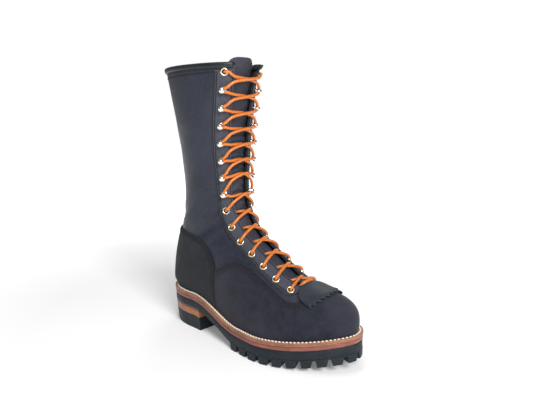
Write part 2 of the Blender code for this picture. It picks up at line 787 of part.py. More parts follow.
def centre_lugs():
    """Six-sided blocks down the middle of the forefoot."""
    prisms = []
    first = TREAD_START * SOLE_LENGTH + CENTRE_LUG_PITCH
    last = SOLE_LENGTH - LUG_REACH - CENTRE_LUG_PITCH
    count = int((last - first) / CENTRE_LUG_PITCH)
    half = CENTRE_LUG_LENGTH / 2
    for k in range(count + 1):
        x = first + k * (last - first) / count
        sides = outline_sides(x, LUG_INSET)
        lateral, medial = sides[0] + CENTRE_LUG_CLEAR, sides[1] - CENTRE_LUG_CLEAR
        if medial - lateral < CENTRE_LUG_LENGTH:
            continue
        ring = [
            (x - half, lateral + CENTRE_LUG_POINT), (x, lateral), (x + half, lateral + CENTRE_LUG_POINT),
            (x + half, medial - CENTRE_LUG_POINT), (x, medial), (x - half, medial - CENTRE_LUG_POINT),
        ]
        floor = [(a, b, float(spring(a))) for a, b in ring]
        root = [(a, b, float(outsole_underside(a)) + LUG_SINK) for a, b in ring]
        prisms.append(prism(floor, root))
    return prisms


def build_outsole():
    """The rubber sole: a slab over heel, shank and forefoot, with its lugs."""
    inset = 0.0008
    slab = ladder(
        "outsole", full_stations(inset), inset, inset,
        outsole_underside, lambda x: midsole_underside(x) - GAP,
    )
    made = add_object("outsole", slab, "rubber", smooth=False)
    lugs = add_object("lugs", joined_prisms("lugs", edge_lugs() + centre_lugs()), "rubber", smooth=False)
    apply_boolean(made, lugs, "UNION")
    return made


def build_heel():
    """The rubber heel with grooves across its tread, and the two leather lifts above it."""
    heel_layer("heel_slip", "slip_leather", GAP, HEEL_SLIP, 0.0010, 0.0012)
    heel_layer("heel_lift", "lift_leather", 2 * GAP + HEEL_SLIP, HEEL_LIFT, 0.0012, 0.0016)
    heel = heel_layer(
        "heel", "rubber", 3 * GAP + HEEL_SLIP + HEEL_LIFT, HEEL_RUBBER, 0.0016, 0.0034, flat=True
    )
    width, depth, length = HEEL_GROOVE
    grooves = []
    for place in HEEL_GROOVE_PLACES:
        x = HEEL_LENGTH / 2 + place * HEEL_GROOVE_PITCH
        reach = length / 2 * (OUTER_GROOVE_SHARE if abs(place) > 1 else 1.0)
        ring = [(x - width / 2, -reach), (x + width / 2, -reach), (x + width / 2, reach), (x - width / 2, reach)]
        grooves.append(prism([(a, b, -depth) for a, b in ring], [(a, b, depth) for a, b in ring]))
    cut(heel, add_object("heel_grooves", joined_prisms("heel_grooves", grooves), "rubber", smooth=False))


def build_midsole():
    mesh = ladder("midsole", full_stations(0.0004), 0.0004, 0.0004, midsole_underside, midsole_top)
    add_object("midsole", mesh, "midsole_leather")


def build_welt():
    """The leather welt, a ring all round the upper's foot."""
    outer = sole_loop(0.0)
    inner = sole_loop(WELT_MARGIN - WELT_CLEARANCE)
    vertices = []
    for loop in (outer, inner):
        for height in (GAP, GAP + WELT):
            vertices += [(x, y, float(midsole_top(x)) + height) for x, y in loop]
    count = len(outer)
    faces = []
    for i in range(count):
        follow = (i + 1) % count
        ring = [0, count, 3 * count, 2 * count]
        for a, b in zip(ring, ring[1:] + ring[:1]):
            faces.append((a + i, a + follow, b + follow, b + i))
    add_object("welt", mesh_of("welt", vertices, faces), "welt_leather")


def build_insole():
    inset = WELT_MARGIN + WALL + INSOLE_CLEARANCE
    mesh = ladder(
        "insole", full_stations(inset), inset, inset,
        lambda x: midsole_top(x) + GAP, lambda x: midsole_top(x) + GAP + INSOLE,
    )
    add_object("insole", mesh, "insole_leather")


# Sub-parts of the upper


def build_upper():
    """Vamp, quarters and shaft as one shell, open at the collar, the throat and the sole."""
    skin = Skin()
    skin.cover([row for row in GRID_ROWS if row <= LAST_ROW], throat_share, lambda row, side: 1.0)
    skin.drop_skirt(WELT + GAP)
    add_object("upper", skin.solid("upper", -WALL, 0.0), "smooth_leather")


def build_vamp():
    """The rough-out overlay over the toe and forefoot, up to its arched seam."""
    def end(row, side):
        return 1.0 if row <= COUNTER_ROWS[0] else max(
            counter_share(row, side) - SEAM_SHARE_GAP, vamp_share(row, side)
        )

    skin = Skin()
    skin.cover([row for row in GRID_ROWS if row <= VAMP_ROWS[-1]], vamp_share, end)
    mesh = skin.solid("vamp", OVERLAY_GAP, OVERLAY_GAP + OVERLAY)
    add_object("vamp", mesh, "roughout_leather")


def build_counter():
    """The pocket round the heel, from the welt up to its point at the back."""
    skin = Skin()
    rows = [row for row in GRID_ROWS if COUNTER_ROWS[0] <= row <= COUNTER_ROWS[-1]]
    skin.cover(rows, counter_share, lambda row, side: 1.0)
    mesh = skin.solid("counter", COUNTER_GAP, COUNTER_GAP + COUNTER_LEATHER)
    add_object("counter", mesh, "roughout_leather")


def build_facings():
    """The two strips that carry the eyelets and hooks."""
    rows = sorted({*FACING_END_ROWS, *(r for r in GRID_ROWS if FACING_END_ROWS[0] < r <= FACING_TOP_ROW)})
    rows.append(FACING_TOP_ROW)
    for name, side in SIDES.items():
        skin = Skin()
        skin.cover(rows, throat_share, facing_share, (side,))
        mesh = skin.solid("facing", OVERLAY_GAP, OVERLAY_GAP + FACING_LEATHER)
        add_object(f"facing_{name}", mesh, "smooth_leather")


def build_backstay():
    """The narrow strip over the back seam, from the counter to the collar."""
    def start(row, side):
        return 1.0 - BACKSTAY_WIDTH / 2 / half_length(row, side)

    skin = Skin()
    low = COUNTER_ROWS[-1] + BACKSTAY_RISE
    rows = [low, *(row for row in GRID_ROWS if low < row < FACING_TOP_ROW), FACING_TOP_ROW]
    skin.cover(rows, start, lambda row, side: 1.0)
    mesh = skin.solid("backstay", OVERLAY_GAP, OVERLAY_GAP + FACING_LEATHER)
    add_object("backstay", mesh, "smooth_leather")


def build_binding():
    """The rolled binding that folds over the collar's edge, from one facing round to the other."""
    outer, inner = BINDING + GAP, WALL + GAP + BINDING
    bend = 0.5 * BINDING
    profile = (
        (outer, -BINDING_DROP), (outer, outer - bend), (outer - bend, outer),
        (-inner + bend, outer), (-inner, outer - bend), (-inner, -BINDING_DROP),
        (-WALL - GAP, -BINDING_DROP), (-WALL - GAP, GAP), (GAP, GAP), (GAP, -BINDING_DROP),
    )
    stops = []
    for side in (LATERAL, MEDIAL):
        edge = throat_share(LAST_ROW, side)
        shares = [edge + 0.004] + [share for share in COLUMN_SHARES if share > edge + 0.01]
        points, normals = (along_grid_row(LAST_ROW, side, shares, which) for which in (0, 1))
        rises = points - along_grid_row(LAST_ROW - 1, side, shares, 0)
        rises /= np.linalg.norm(rises, axis=1)[:, None]
        stops.append(list(zip(points, normals, rises)))
    line = stops[0] + stops[1][-2::-1]
    vertices = [p + n * out + rise * up for p, n, rise in line for out, up in profile]
    size = len(profile)
    faces = [tuple(range(size)), tuple(range(len(vertices) - size, len(vertices)))]
    for i in range(len(line) - 1):
        for a in range(size):
            b = (a + 1) % size
            faces.append((i * size + a, i * size + b, (i + 1) * size + b, (i + 1) * size + a))
    add_object("collar_binding", mesh_of("collar_binding", vertices, faces), "smooth_leather")


def build_tongue():
    """The tongue behind the throat, from the vamp to above the collar."""
    halves = [
        (throat_distance(min(row, LAST_ROW)) + TONGUE_OVERLAP) * TONGUE_TOP_NARROWING.get(row, 1.0)
        for row in TONGUE_ROWS
    ]
    lifts = [-TONGUE_DEPTH - TONGUE] * len(TONGUE_ROWS)
    leaf("tongue", "smooth_leather", zip(TONGUE_ROWS, halves, lifts), TONGUE, TONGUE_ACROSS)


def build_kiltie():
    """The false tongue: a leaf that comes out of the throat over the vamp, with a sawtooth end."""
    across = np.linspace(-1.0, 1.0, 2 * KILTIE_TEETH + 1)
    leaf("kiltie", "roughout_leather", KILTIE_RINGS, KILTIE, across, KILTIE_TOOTH)


def leaf(name, material, rings, thickness, across, tooth=0.0):
    """A leaf over the front of the last, through rings of (row, half width, height above the last)."""
    rings = list(rings)
    lines = []
    for row, half, lift in rings:
        line = []
        for k, place in enumerate(across):
            side = LATERAL if place < 0 else MEDIAL
            share = abs(place) * half / half_length(row, side)
            point = last_points(row, side, [share])[0]
            normal = last_normals(row, side, [share])[0]
            if tooth and row == rings[-1][0] and k % 2:
                forward = last_points(row - 0.5, side, [share])[0] - point
                point = point + tooth * forward / np.linalg.norm(forward)
            line.append((point + normal * lift, point + normal * (lift + thickness)))
        lines.append(line)
    width = len(across)
    vertices = [p for line in lines for pair in line for p in pair]

    def at(i, k, level):
        return (i * width + k) * 2 + level

    faces = []
    for i in range(len(lines) - 1):
        for k in range(width - 1):
            for level in (0, 1):
                faces.append((at(i, k, level), at(i, k + 1, level), at(i + 1, k + 1, level), at(i + 1, k, level)))
        for k in (0, width - 1):
            faces.append((at(i, k, 0), at(i + 1, k, 0), at(i + 1, k, 1), at(i, k, 1)))
    for i in (0, len(lines) - 1):
        for k in range(width - 1):
            faces.append((at(i, k, 0), at(i, k + 1, 0), at(i, k + 1, 1), at(i, k, 1)))
    add_object(name, mesh_of(name, vertices, faces), material)


# Hardware and lace


def station_rows():
    """Row of the last at each eyelet and hook, spaced along the facing's middle."""
    rows = np.linspace(FACING_END_ROWS[0], LAST_ROW, 400)
    line = np.array([station_point(r, LATERAL)[0] for r in rows])
    run = np.concatenate([[0.0], np.cumsum(np.linalg.norm(np.diff(line, axis=0), axis=1))])
    places = [FIRST_EYELET + k * EYELET_PITCH for k in range(EYELET_COUNT)]
    places += list(np.linspace(places[-1], run[-1] - TOP_EYELET_DROP, HOOK_COUNT + 2)[1:])
    return np.interp(places, run, rows)


def station_point(row, side, shift=0.0):
    """The middle of the facing at a row, moved towards the throat by `shift`, and its normal."""
    low = max(grid_row for grid_row in GRID_ROWS if grid_row <= row)
    high = min(grid_row for grid_row in GRID_ROWS if grid_row > row)
    along = (row - low) / (high - low)
    share = (throat_distance(row) + FACING_WIDTH / 2 - shift) / half_length(row, side)
    near, far = (
        [along_grid_row(band, side, [share], which)[0] for which in (0, 1)] for band in (low, high)
    )
    point, normal = (a + (b - a) * along for a, b in zip(near, far))
    return point, normal / np.linalg.norm(normal)


def outward_frame(row, side):
    """Rotation whose Z is the normal at a station and whose X points away from the throat."""
    point, normal = station_point(row, side)
    away = Vector(station_point(row, side, -HOOK_BASE)[0] - point)
    axis_z = Vector(normal)
    axis_y = axis_z.cross(away).normalized()
    axis_x = axis_y.cross(axis_z)
    lift = facets_above(row, side, point, normal)
    seat = Vector(point) + axis_z * (OVERLAY_GAP + FACING_LEATHER + HARDWARE_GAP + lift)
    return seat - Vector((HEEL_LENGTH / 2, 0, 0)), Matrix((axis_x, axis_y, axis_z)).transposed().to_euler()


def facets_above(row, side, point, normal):
    """How far the facets under a hook's foot rise above the plane through the station."""
    row_length = float(np.linalg.norm(station_point(row + 0.1, side)[0] - point)) / 0.1
    heights = [0.0]
    for along in np.linspace(-1, 1, 9) * HOOK_BASE / row_length:
        for across in np.linspace(-1, 1, 5) * HOOK_BASE:
            near = station_point(row + along, side, across)[0]
            heights.append(float(np.dot(near - point, normal)))
    return max(heights)


def turned(name, profile, steps):
    """A ring turned about Z from a closed profile of (radius, height)."""
    vertices, faces = [], []
    size = len(profile)
    for k in range(steps):
        angle = 2 * math.pi * k / steps
        vertices += [(r * math.cos(angle), r * math.sin(angle), z) for r, z in profile]
    for k in range(steps):
        follow = (k + 1) % steps
        for a in range(size):
            b = (a + 1) % size
            faces.append((k * size + a, k * size + b, follow * size + b, follow * size + a))
    return mesh_of(name, vertices, faces)


def hook_mesh():
    """A lace hook: a round foot, and a strip that rises by the throat and curls outwards."""
    steps = 8
    foot = turned("hook_foot", ((0.0, 0.0), (HOOK_BASE, 0.0), (HOOK_BASE, HOOK_PLATE), (0.0, HOOK_PLATE)), steps)
    holder = add_object("hook_foot", foot, "hook_nickel", location=(0, 0, 0), smooth=False)
    radius = (HOOK_RISE - HOOK_PLATE) / 2
    inner_x = -0.0012
    path = [(inner_x, 0.4 * HOOK_PLATE), (inner_x, HOOK_PLATE + radius * 0.6)]
    for k in range(1, 4):
        angle = math.pi - k * math.pi / 3
        path.append((inner_x + radius + radius * math.cos(angle), HOOK_PLATE + radius + radius * math.sin(angle)))
    path.append((inner_x + HOOK_REACH, HOOK_PLATE + radius * 0.62))
    path = np.array(path)
    tangent = np.gradient(path, axis=0)
    tangent /= np.linalg.norm(tangent, axis=1)[:, None]
    sideways = np.stack([-tangent[:, 1], tangent[:, 0]], axis=1) * HOOK_PLATE / 2
    vertices = []
    for point, offset in zip(path, sideways):
        for sign, y in ((1, -1), (1, 1), (-1, 1), (-1, -1)):
            vertices.append((*(point[:1] + sign * offset[:1]), y * HOOK_WIDTH / 2, *(point[1:] + sign * offset[1:])))
    faces = [(0, 1, 2, 3), tuple(range(len(vertices) - 4, len(vertices)))]
    for i in range(len(path) - 1):
        for a in range(4):
            b = (a + 1) % 4
            faces.append((4 * i + a, 4 * i + b, 4 * i + 4 + b, 4 * i + 4 + a))
    strip = add_object("hook_strip", mesh_of("hook_strip", vertices, faces), "hook_nickel", (0, 0, 0), smooth=False)
    apply_boolean(holder, strip, "UNION")
    mesh = holder.data
    bpy.data.objects.remove(holder)
    return mesh


def build_hardware():
    """Eyelets up to the ankle and at the top, with hooks between, on both facings."""
    profile = (
        (EYELET_BORE, 0.0), (EYELET_OUTER, 0.0),
        (EYELET_BORE + 0.0011, EYELET_HEIGHT), (EYELET_BORE, 0.6 * EYELET_HEIGHT),
    )
    ring = turned("eyelet", profile, 8)
    hook = hook_mesh()
    rows = station_rows()
    for name, side in SIDES.items():
        for k, row in enumerate(rows):
            is_hook = EYELET_COUNT <= k < EYELET_COUNT + HOOK_COUNT
            seat, turn = outward_frame(row, side)
            label = f"{'hook' if is_hook else 'eyelet'}_{name}_{k + 1:02d}"
            made = add_object(label, hook if is_hook else ring, "hook_nickel" if is_hook else "eyelet_brass", seat)
            made.rotation_euler = turn


def lace_strand(name, first_side, rows):
    """One end of the lace, zigzag from side to side up the throat, clear of the hardware."""
    line = []
    turns = [station_point(r, s, LACE_TURN) for r, s in zip(rows, zigzag(first_side, len(rows)))]
    for k in range(len(rows) - 1):
        (start, up), (end, up_next) = turns[k], turns[k + 1]
        for share in (0.0, 0.5):
            row = rows[k] + (rows[k + 1] - rows[k]) * share
            across = 1 - 2 * share
            side = zigzag(first_side, len(rows))[k] if across > 0 else -zigzag(first_side, len(rows))[k]
            reach = abs(across) * (throat_distance(row) + FACING_WIDTH / 2 - LACE_TURN)
            place = reach / half_length(row, side)
            point = last_points(row, side, [place])[0]
            line.append(point + last_normals(row, side, [place])[0] * LACE_HEIGHT)
    line.append(turns[-1][0] + turns[-1][1] * LACE_HEIGHT)
    curve = bpy.data.curves.new(name, "CURVE")
    curve.dimensions = "3D"
    curve.bevel_depth = LACE_DIAMETER / 2
    curve.bevel_resolution = 0
    curve.use_fill_caps = True
    spline = curve.splines.new("POLY")
    spline.points.add(len(line) - 1)
    for point, place in zip(spline.points, line):
        point.co = (*place, 1.0)
    holder = bpy.data.objects.new(name, curve)
    bpy.context.scene.collection.objects.link(holder)
    bpy.context.view_layer.update()
    mesh = bpy.data.meshes.new_from_object(holder.evaluated_get(bpy.context.evaluated_depsgraph_get()))
    bpy.data.objects.remove(holder)
    work = bmesh.new()
    work.from_mesh(mesh)
    bmesh.ops.remove_doubles(work, verts=work.verts, dist=1e-6)
    bmesh.ops.recalc_face_normals(work, faces=work.faces)
    work.to_mesh(mesh)
    work.free()
    mesh.materials.clear()
    return add_object(name, mesh, "lace_cord", smooth=False)


def zigzag(first_side, count):
    return [first_side if k % 2 == 0 else -first_side for k in range(count)]


def build_lace():
    """The lace's crossings, both ends joined where they meet over the tongue."""
    rows = list(station_rows())
    lace = lace_strand("lace", LATERAL, rows)
    other = lace_strand("lace_other", MEDIAL, rows)
    apply_boolean(lace, other, "UNION")


def make_materials():
    for name, (colour, roughness, metallic) in MATERIALS.items():
        material = bpy.data.materials.new(name)
        material.use_nodes = True
        shader = material.node_tree.nodes["Principled BSDF"]
        shader.inputs["Base Color"].default_value = (*colour, 1.0)
        shader.inputs["Roughness"].default_value = roughness
        shader.inputs["Metallic"].default_value = metallic


def main():
    for old in list(bpy.data.objects):
        bpy.data.objects.remove(old)
    make_materials()
    build_outsole()
    build_heel()
    build_midsole()
    build_welt()
    build_insole()
    build_upper()
    build_vamp()
    build_counter()
    build_facings()
    build_backstay()
    build_binding()
    build_tongue()
    build_kiltie()
    build_hardware()
    build_lace()


main()
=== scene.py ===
"""Looks of a right-foot logger boot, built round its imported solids.

The leather, sole and hardware are worked out in last coordinates, as the solids are: metres, X
from the back edge of the welt to its toe, +Y to the medial side, +Z up from the floor. The bench
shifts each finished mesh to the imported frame, whose origin is the centre of the heel.
"""

import logging
import math
from dataclasses import dataclass, field
from enum import Enum
from typing import Callable, Optional, Sequence

import bpy
import numpy as np
from mathutils import Matrix, Vector


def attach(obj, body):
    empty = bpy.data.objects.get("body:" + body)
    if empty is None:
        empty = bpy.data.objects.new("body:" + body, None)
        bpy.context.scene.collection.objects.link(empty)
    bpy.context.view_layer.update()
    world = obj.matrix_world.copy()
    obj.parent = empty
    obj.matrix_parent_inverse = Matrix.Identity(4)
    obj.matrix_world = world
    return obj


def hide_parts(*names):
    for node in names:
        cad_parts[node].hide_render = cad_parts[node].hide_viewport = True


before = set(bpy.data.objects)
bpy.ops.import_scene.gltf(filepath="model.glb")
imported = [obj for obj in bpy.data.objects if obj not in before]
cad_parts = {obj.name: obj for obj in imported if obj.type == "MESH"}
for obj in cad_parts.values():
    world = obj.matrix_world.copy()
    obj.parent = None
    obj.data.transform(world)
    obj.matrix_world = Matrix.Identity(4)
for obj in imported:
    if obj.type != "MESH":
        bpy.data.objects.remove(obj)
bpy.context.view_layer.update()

Array = np.ndarray
log = logging.getLogger("boot")

PLAN_COLUMNS = ("share", "lateral", "medial")
SOLE_PLAN = (
    (0.00, 0.000, 0.000),
    (0.03, 0.160, 0.160),
    (0.08, 0.262, 0.262),
    (0.15, 0.322, 0.316),
    (0.25, 0.342, 0.318),
    (0.35, 0.376, 0.310),
    (0.45, 0.422, 0.320),
    (0.55, 0.470, 0.388),
    (0.65, 0.505, 0.480),
    (0.75, 0.465, 0.512),
    (0.85, 0.364, 0.470),
    (0.92, 0.246, 0.392),
    (0.97, 0.118, 0.262),
    (1.00, -0.044, 0.044),
)

# sole: where a section meets the welt, front: its top point, both as shares of the feather
# line's length; rise: share of the instep height; lateral and medial: half widths as shares of
# the ball width; widest: share of the depth where it is widest; crown and seat: squareness in
# front of and behind that; centre: sideways shift as a share of the ball width.
FOOT_COLUMNS = (
    "sole", "front", "rise", "lateral", "medial", "widest", "crown", "seat", "centre",
)
FOOT_SECTIONS = (
    (0.987, 1.000, 0.000, 0.10, 0.10, 12.0, 2.00, 2.0, 0.050),
    (0.967, 1.005, 0.056, 0.15, 0.20, 4.60, 2.05, 2.0, 0.055),
    (0.940, 1.000, 0.122, 0.22, 0.28, 2.60, 2.15, 2.0, 0.055),
    (0.906, 0.982, 0.187, 0.28, 0.36, 1.75, 2.25, 2.0, 0.052),
    (0.863, 0.944, 0.245, 0.33, 0.42, 1.30, 2.25, 2.0, 0.046),
    (0.813, 0.888, 0.292, 0.385, 0.455, 1.05, 2.15, 2.0, 0.036),
    (0.756, 0.818, 0.330, 0.425, 0.465, 0.90, 2.00, 2.0, 0.026),
    (0.692, 0.757, 0.384, 0.455, 0.440, 0.84, 1.90, 2.1, 0.016),
    (0.622, 0.693, 0.464, 0.450, 0.400, 0.79, 1.87, 2.1, 0.008),
    (0.549, 0.629, 0.548, 0.430, 0.370, 0.73, 1.88, 2.1, 0.003),
    (0.468, 0.572, 0.624, 0.400, 0.350, 0.67, 1.90, 2.1, 0.003),
    (0.381, 0.523, 0.688, 0.375, 0.340, 0.62, 1.90, 2.2, 0.000),
    (0.291, 0.487, 0.750, 0.355, 0.335, 0.58, 1.90, 2.2, 0.000),
    (0.201, 0.463, 0.806, 0.345, 0.335, 0.56, 1.92, 2.3, 0.000),
    (0.127, 0.450, 0.853, 0.340, 0.334, 0.54, 1.95, 2.3, 0.000),
    (0.074, 0.441, 0.893, 0.337, 0.333, 0.53, 1.97, 2.3, 0.000),
    (0.036, 0.436, 0.932, 0.335, 0.332, 0.52, 2.00, 2.3, 0.000),
    (0.012, 0.432, 0.967, 0.333, 0.331, 0.52, 2.00, 2.3, 0.000),
    (0.000, 0.430, 1.000, 0.332, 0.330, 0.51, 2.00, 2.2, 0.000),
)

# back and front: shares of the feather line's length; back_rise and front_rise: heights above
# the welt at the heel as shares of the shaft height; width: half width as a share of the calf
# width; crown and seat as above.
LEG_COLUMNS = ("back", "back_rise", "front", "front_rise", "width", "crown", "seat")
LEG_SECTIONS = (
    (0.003, 0.045, 0.429, 0.525, 0.400, 2.00, 2.15),
    (0.014, 0.104, 0.428, 0.547, 0.400, 2.00, 2.10),
    (0.036, 0.170, 0.428, 0.568, 0.402, 2.00, 2.05),
    (0.062, 0.236, 0.428, 0.591, 0.405, 2.00, 2.00),
    (0.084, 0.305, 0.428, 0.617, 0.410, 2.00, 1.95),
    (0.099, 0.380, 0.429, 0.647, 0.415, 2.00, 1.92),
    (0.105, 0.466, 0.431, 0.683, 0.424, 2.00, 1.92),
    (0.102, 0.558, 0.434, 0.726, 0.438, 2.00, 1.95),
    (0.091, 0.657, 0.440, 0.779, 0.456, 2.02, 1.98),
    (0.070, 0.769, 0.452, 0.844, 0.474, 2.05, 2.00),
    (0.040, 0.884, 0.465, 0.920, 0.488, 2.08, 2.00),
    (0.008, 1.000, 0.480, 1.002, 0.500, 2.10, 2.00),
)
HEEL_ROW = len(FOOT_SECTIONS) - 1
TOP_ROW = len(FOOT_SECTIONS) + len(LEG_SECTIONS) - 1

COUNTER_COLUMNS = ("up", "along")
COUNTER_EDGE = (
    (-0.080, 0.387),
    (0.024, 0.390),
    (0.090, 0.392),
    (0.146, 0.389),
    (0.182, 0.378),
    (0.212, 0.359),
    (0.243, 0.330),
    (0.262, 0.300),
    (0.276, 0.258),
    (0.287, 0.200),
    (0.297, 0.145),
    (0.306, 0.098),
)


class Side(Enum):
    """The two sides of the boot, and the sign of Y there."""

    LATERAL = -1
    MEDIAL = 1

    @property
    def label(self) -> str:
        """The side's name as the nodes spell it."""
        return self.name.lower()


class Edge(Enum):
    """The borders of a piece of leather that is laid on the last."""

    START = "start"
    END = "end"
    LOW = "low"
    HIGH = "high"


def columns(names: Sequence[str], table: Sequence[Sequence[float]]) -> dict[str, Array]:
    """The table's columns as arrays, by name."""
    return dict(zip(names, np.array(table, float).T))


def smoothstep(value: Array) -> Array:
    """0 below 0, 1 above 1, and a smooth rise between."""
    held = np.clip(value, 0.0, 1.0)
    return held * held * (3.0 - 2.0 * held)


def unit(vectors: Array) -> Array:
    """The vectors at length 1."""
    return vectors / np.maximum(np.linalg.norm(vectors, axis=-1, keepdims=True), 1e-12)


def curve_through(knots: Array, values: Array, at: Array) -> Array:
    """A smooth curve through the knots, straight beyond its ends.

    Args:
        knots: Rising places.
        values: A value or a row of values at each knot.
        at: The places to read.

    Returns:
        The curve's values at those places.
    """
    knots = np.asarray(knots, float)
    values = np.asarray(values, float)
    flat = values.ndim == 1
    if flat:
        values = values[:, None]
    at = np.atleast_1d(np.asarray(at, float))
    spans = np.diff(knots)[:, None]
    slopes = np.diff(values, axis=0) / spans
    tangents = np.empty_like(values)
    tangents[0] = slopes[0]
    tangents[-1] = slopes[-1]
    tangents[1:-1] = (spans[:-1] * slopes[1:] + spans[1:] * slopes[:-1]) / (spans[:-1] + spans[1:])
    index = np.clip(np.searchsorted(knots, at, side="right") - 1, 0, len(knots) - 2)
    width = spans[index]
    share = np.clip((at - knots[index])[:, None] / width, 0.0, 1.0)
    rest = (at[:, None] - knots[index][:, None]) - share * width
    end_slope = np.where(rest < 0, tangents[index], tangents[index + 1])
    low, high = values[index], values[index + 1]
    result = (
        low * (1 + 2 * share) * (1 - share) ** 2
        + tangents[index] * width * share * (1 - share) ** 2
        + high * share**2 * (3 - 2 * share)
        + tangents[index + 1] * width * share**2 * (share - 1)
        + end_slope * rest
    )
    return result[:, 0] if flat else result


def run_along(line: Array) -> Array:
    """Distance along a line to each of its points."""
    return np.concatenate([[0.0], np.cumsum(np.linalg.norm(np.diff(line, axis=0), axis=1))])


def read_along(places: Array, run: Array, line: Array) -> Array:
    """The line's values at these distances along it."""
    return np.stack([np.interp(places, run, column) for column in line.T], axis=1)


@dataclass(frozen=True)
class SoleForm:
    """Heights and outline of the sole, in last coordinates."""

    length: float = 0.315
    ball_width: float = 0.116
    heel_length: float = 0.084
    welt_margin: float = 0.008
    gap: float = 0.0003
    heel_rubber: float = 0.020
    heel_lift: float = 0.0085
    heel_slip: float = 0.0028
    outsole_shank: float = 0.010
    outsole_fore: float = 0.013
    lug_depth: float = 0.008
    midsole: float = 0.005
    welt: float = 0.0042
    toe_spring: float = 0.014
    spring_start: float = 0.66
    spring_power: float = 1.8
    shank_slope: tuple[float, float] = (0.22, 0.54)
    thickening: tuple[float, float] = (0.40, 0.52)
    outline_steps: int = 180

    @property
    def feather_length(self) -> float:
        """Length of the line where the upper meets the welt."""
        return self.length - 2 * self.welt_margin

    def spring(self, x: Array) -> Array:
        """Height of the tread above the floor towards the toe.

        Args:
            x: Distances from the back edge of the welt.

        Returns:
            Heights above the floor.
        """
        share = np.asarray(x, float) / self.length
        rise = np.clip((share - self.spring_start) / (1 - self.spring_start), 0, None)
        return self.toe_spring * rise**self.spring_power

    def midsole_underside(self, x: Array) -> Array:
        """Height of the top of the rubber, from the heel to the toe.

        Args:
            x: Distances from the back edge of the welt.

        Returns:
            Heights above the floor.
        """
        share = np.asarray(x, float) / self.length
        heel = self.heel_rubber + self.heel_lift + self.heel_slip + self.outsole_shank + 4 * self.gap
        fore = self.lug_depth + self.outsole_fore + self.gap
        start, end = self.shank_slope
        return heel + (fore - heel) * smoothstep((share - start) / (end - start)) + self.spring(x)

    def outsole_underside(self, x: Array) -> Array:
        """Height of the underside of the rubber between its lugs.

        Args:
            x: Distances from the back edge of the welt.

        Returns:
            Heights above the floor.
        """
        share = np.asarray(x, float) / self.length
        start, end = self.thickening
        grown = (self.outsole_fore - self.outsole_shank) * smoothstep((share - start) / (end - start))
        return self.midsole_underside(x) - self.gap - self.outsole_shank - grown

    def midsole_top(self, x: Array) -> Array:
        """Height of the face that the welt, insole and upper stand on."""
        return self.midsole_underside(x) + self.midsole

    def feather(self, x: Array) -> Array:
        """Height at which the upper leaves the welt."""
        return self.midsole_top(x) + self.welt + 3 * self.gap

    def loop(self, inset: float, steps: Optional[int] = None) -> Array:
        """The outline moved inwards: heel, lateral side, toe, medial side.

        Args:
            inset: Distance inside the welt's outer edge.
            steps: Number of steps along each side.

        Returns:
            The loop's points in plan.
        """
        steps = steps or self.outline_steps
        plan = columns(PLAN_COLUMNS, SOLE_PLAN)
        turn = np.arccos(1 - 2 * plan["share"])
        theta = np.linspace(0.0, math.pi, steps + 1)
        halves = np.stack([plan["lateral"], plan["medial"]], axis=1) * self.ball_width
        half = curve_through(turn, halves, theta)
        x = self.length * (1 - np.cos(theta)) / 2
        lateral = np.stack([x, -half[:, 0]], axis=1)
        medial = np.stack([x, half[:, 1]], axis=1)[-2:0:-1]
        loop = np.vstack([lateral, medial])
        before = unit(loop - np.roll(loop, 1, axis=0))
        after = unit(np.roll(loop, -1, axis=0) - loop)
        normals = [np.stack([-edge[:, 1], edge[:, 0]], axis=1) for edge in (before, after)]
        bisector = unit(normals[0] + normals[1])
        stretch = np.sum(bisector * normals[0], axis=1)[:, None]
        return loop + bisector * inset / stretch

    def sides(self, x: Array, inset: float) -> tuple[Array, Array]:
        """Lateral and medial Y of the inset outline at x.

        Args:
            x: Distances from the back edge of the welt.
            inset: Distance inside the line.

        Returns:
            Both at each x.
        """
        steps = self.outline_steps
        loop = self.loop(inset)
        lateral = loop[: steps + 1]
        medial = np.vstack([loop[steps:], loop[:1]])[::-1]
        return np.interp(x, lateral[:, 0], lateral[:, 1]), np.interp(x, medial[:, 0], medial[:, 1])


@dataclass(frozen=True)
class Crease:
    """A soft trough between two ridges, from one place on the last to another.

    Rows and shares are places on the last; width and depth are metres. A negative depth is a
    fold that stands up.
    """

    side: Side
    start: tuple[float, float]
    end: tuple[float, float]
    width: float
    depth: float
    sag: float = 0.0


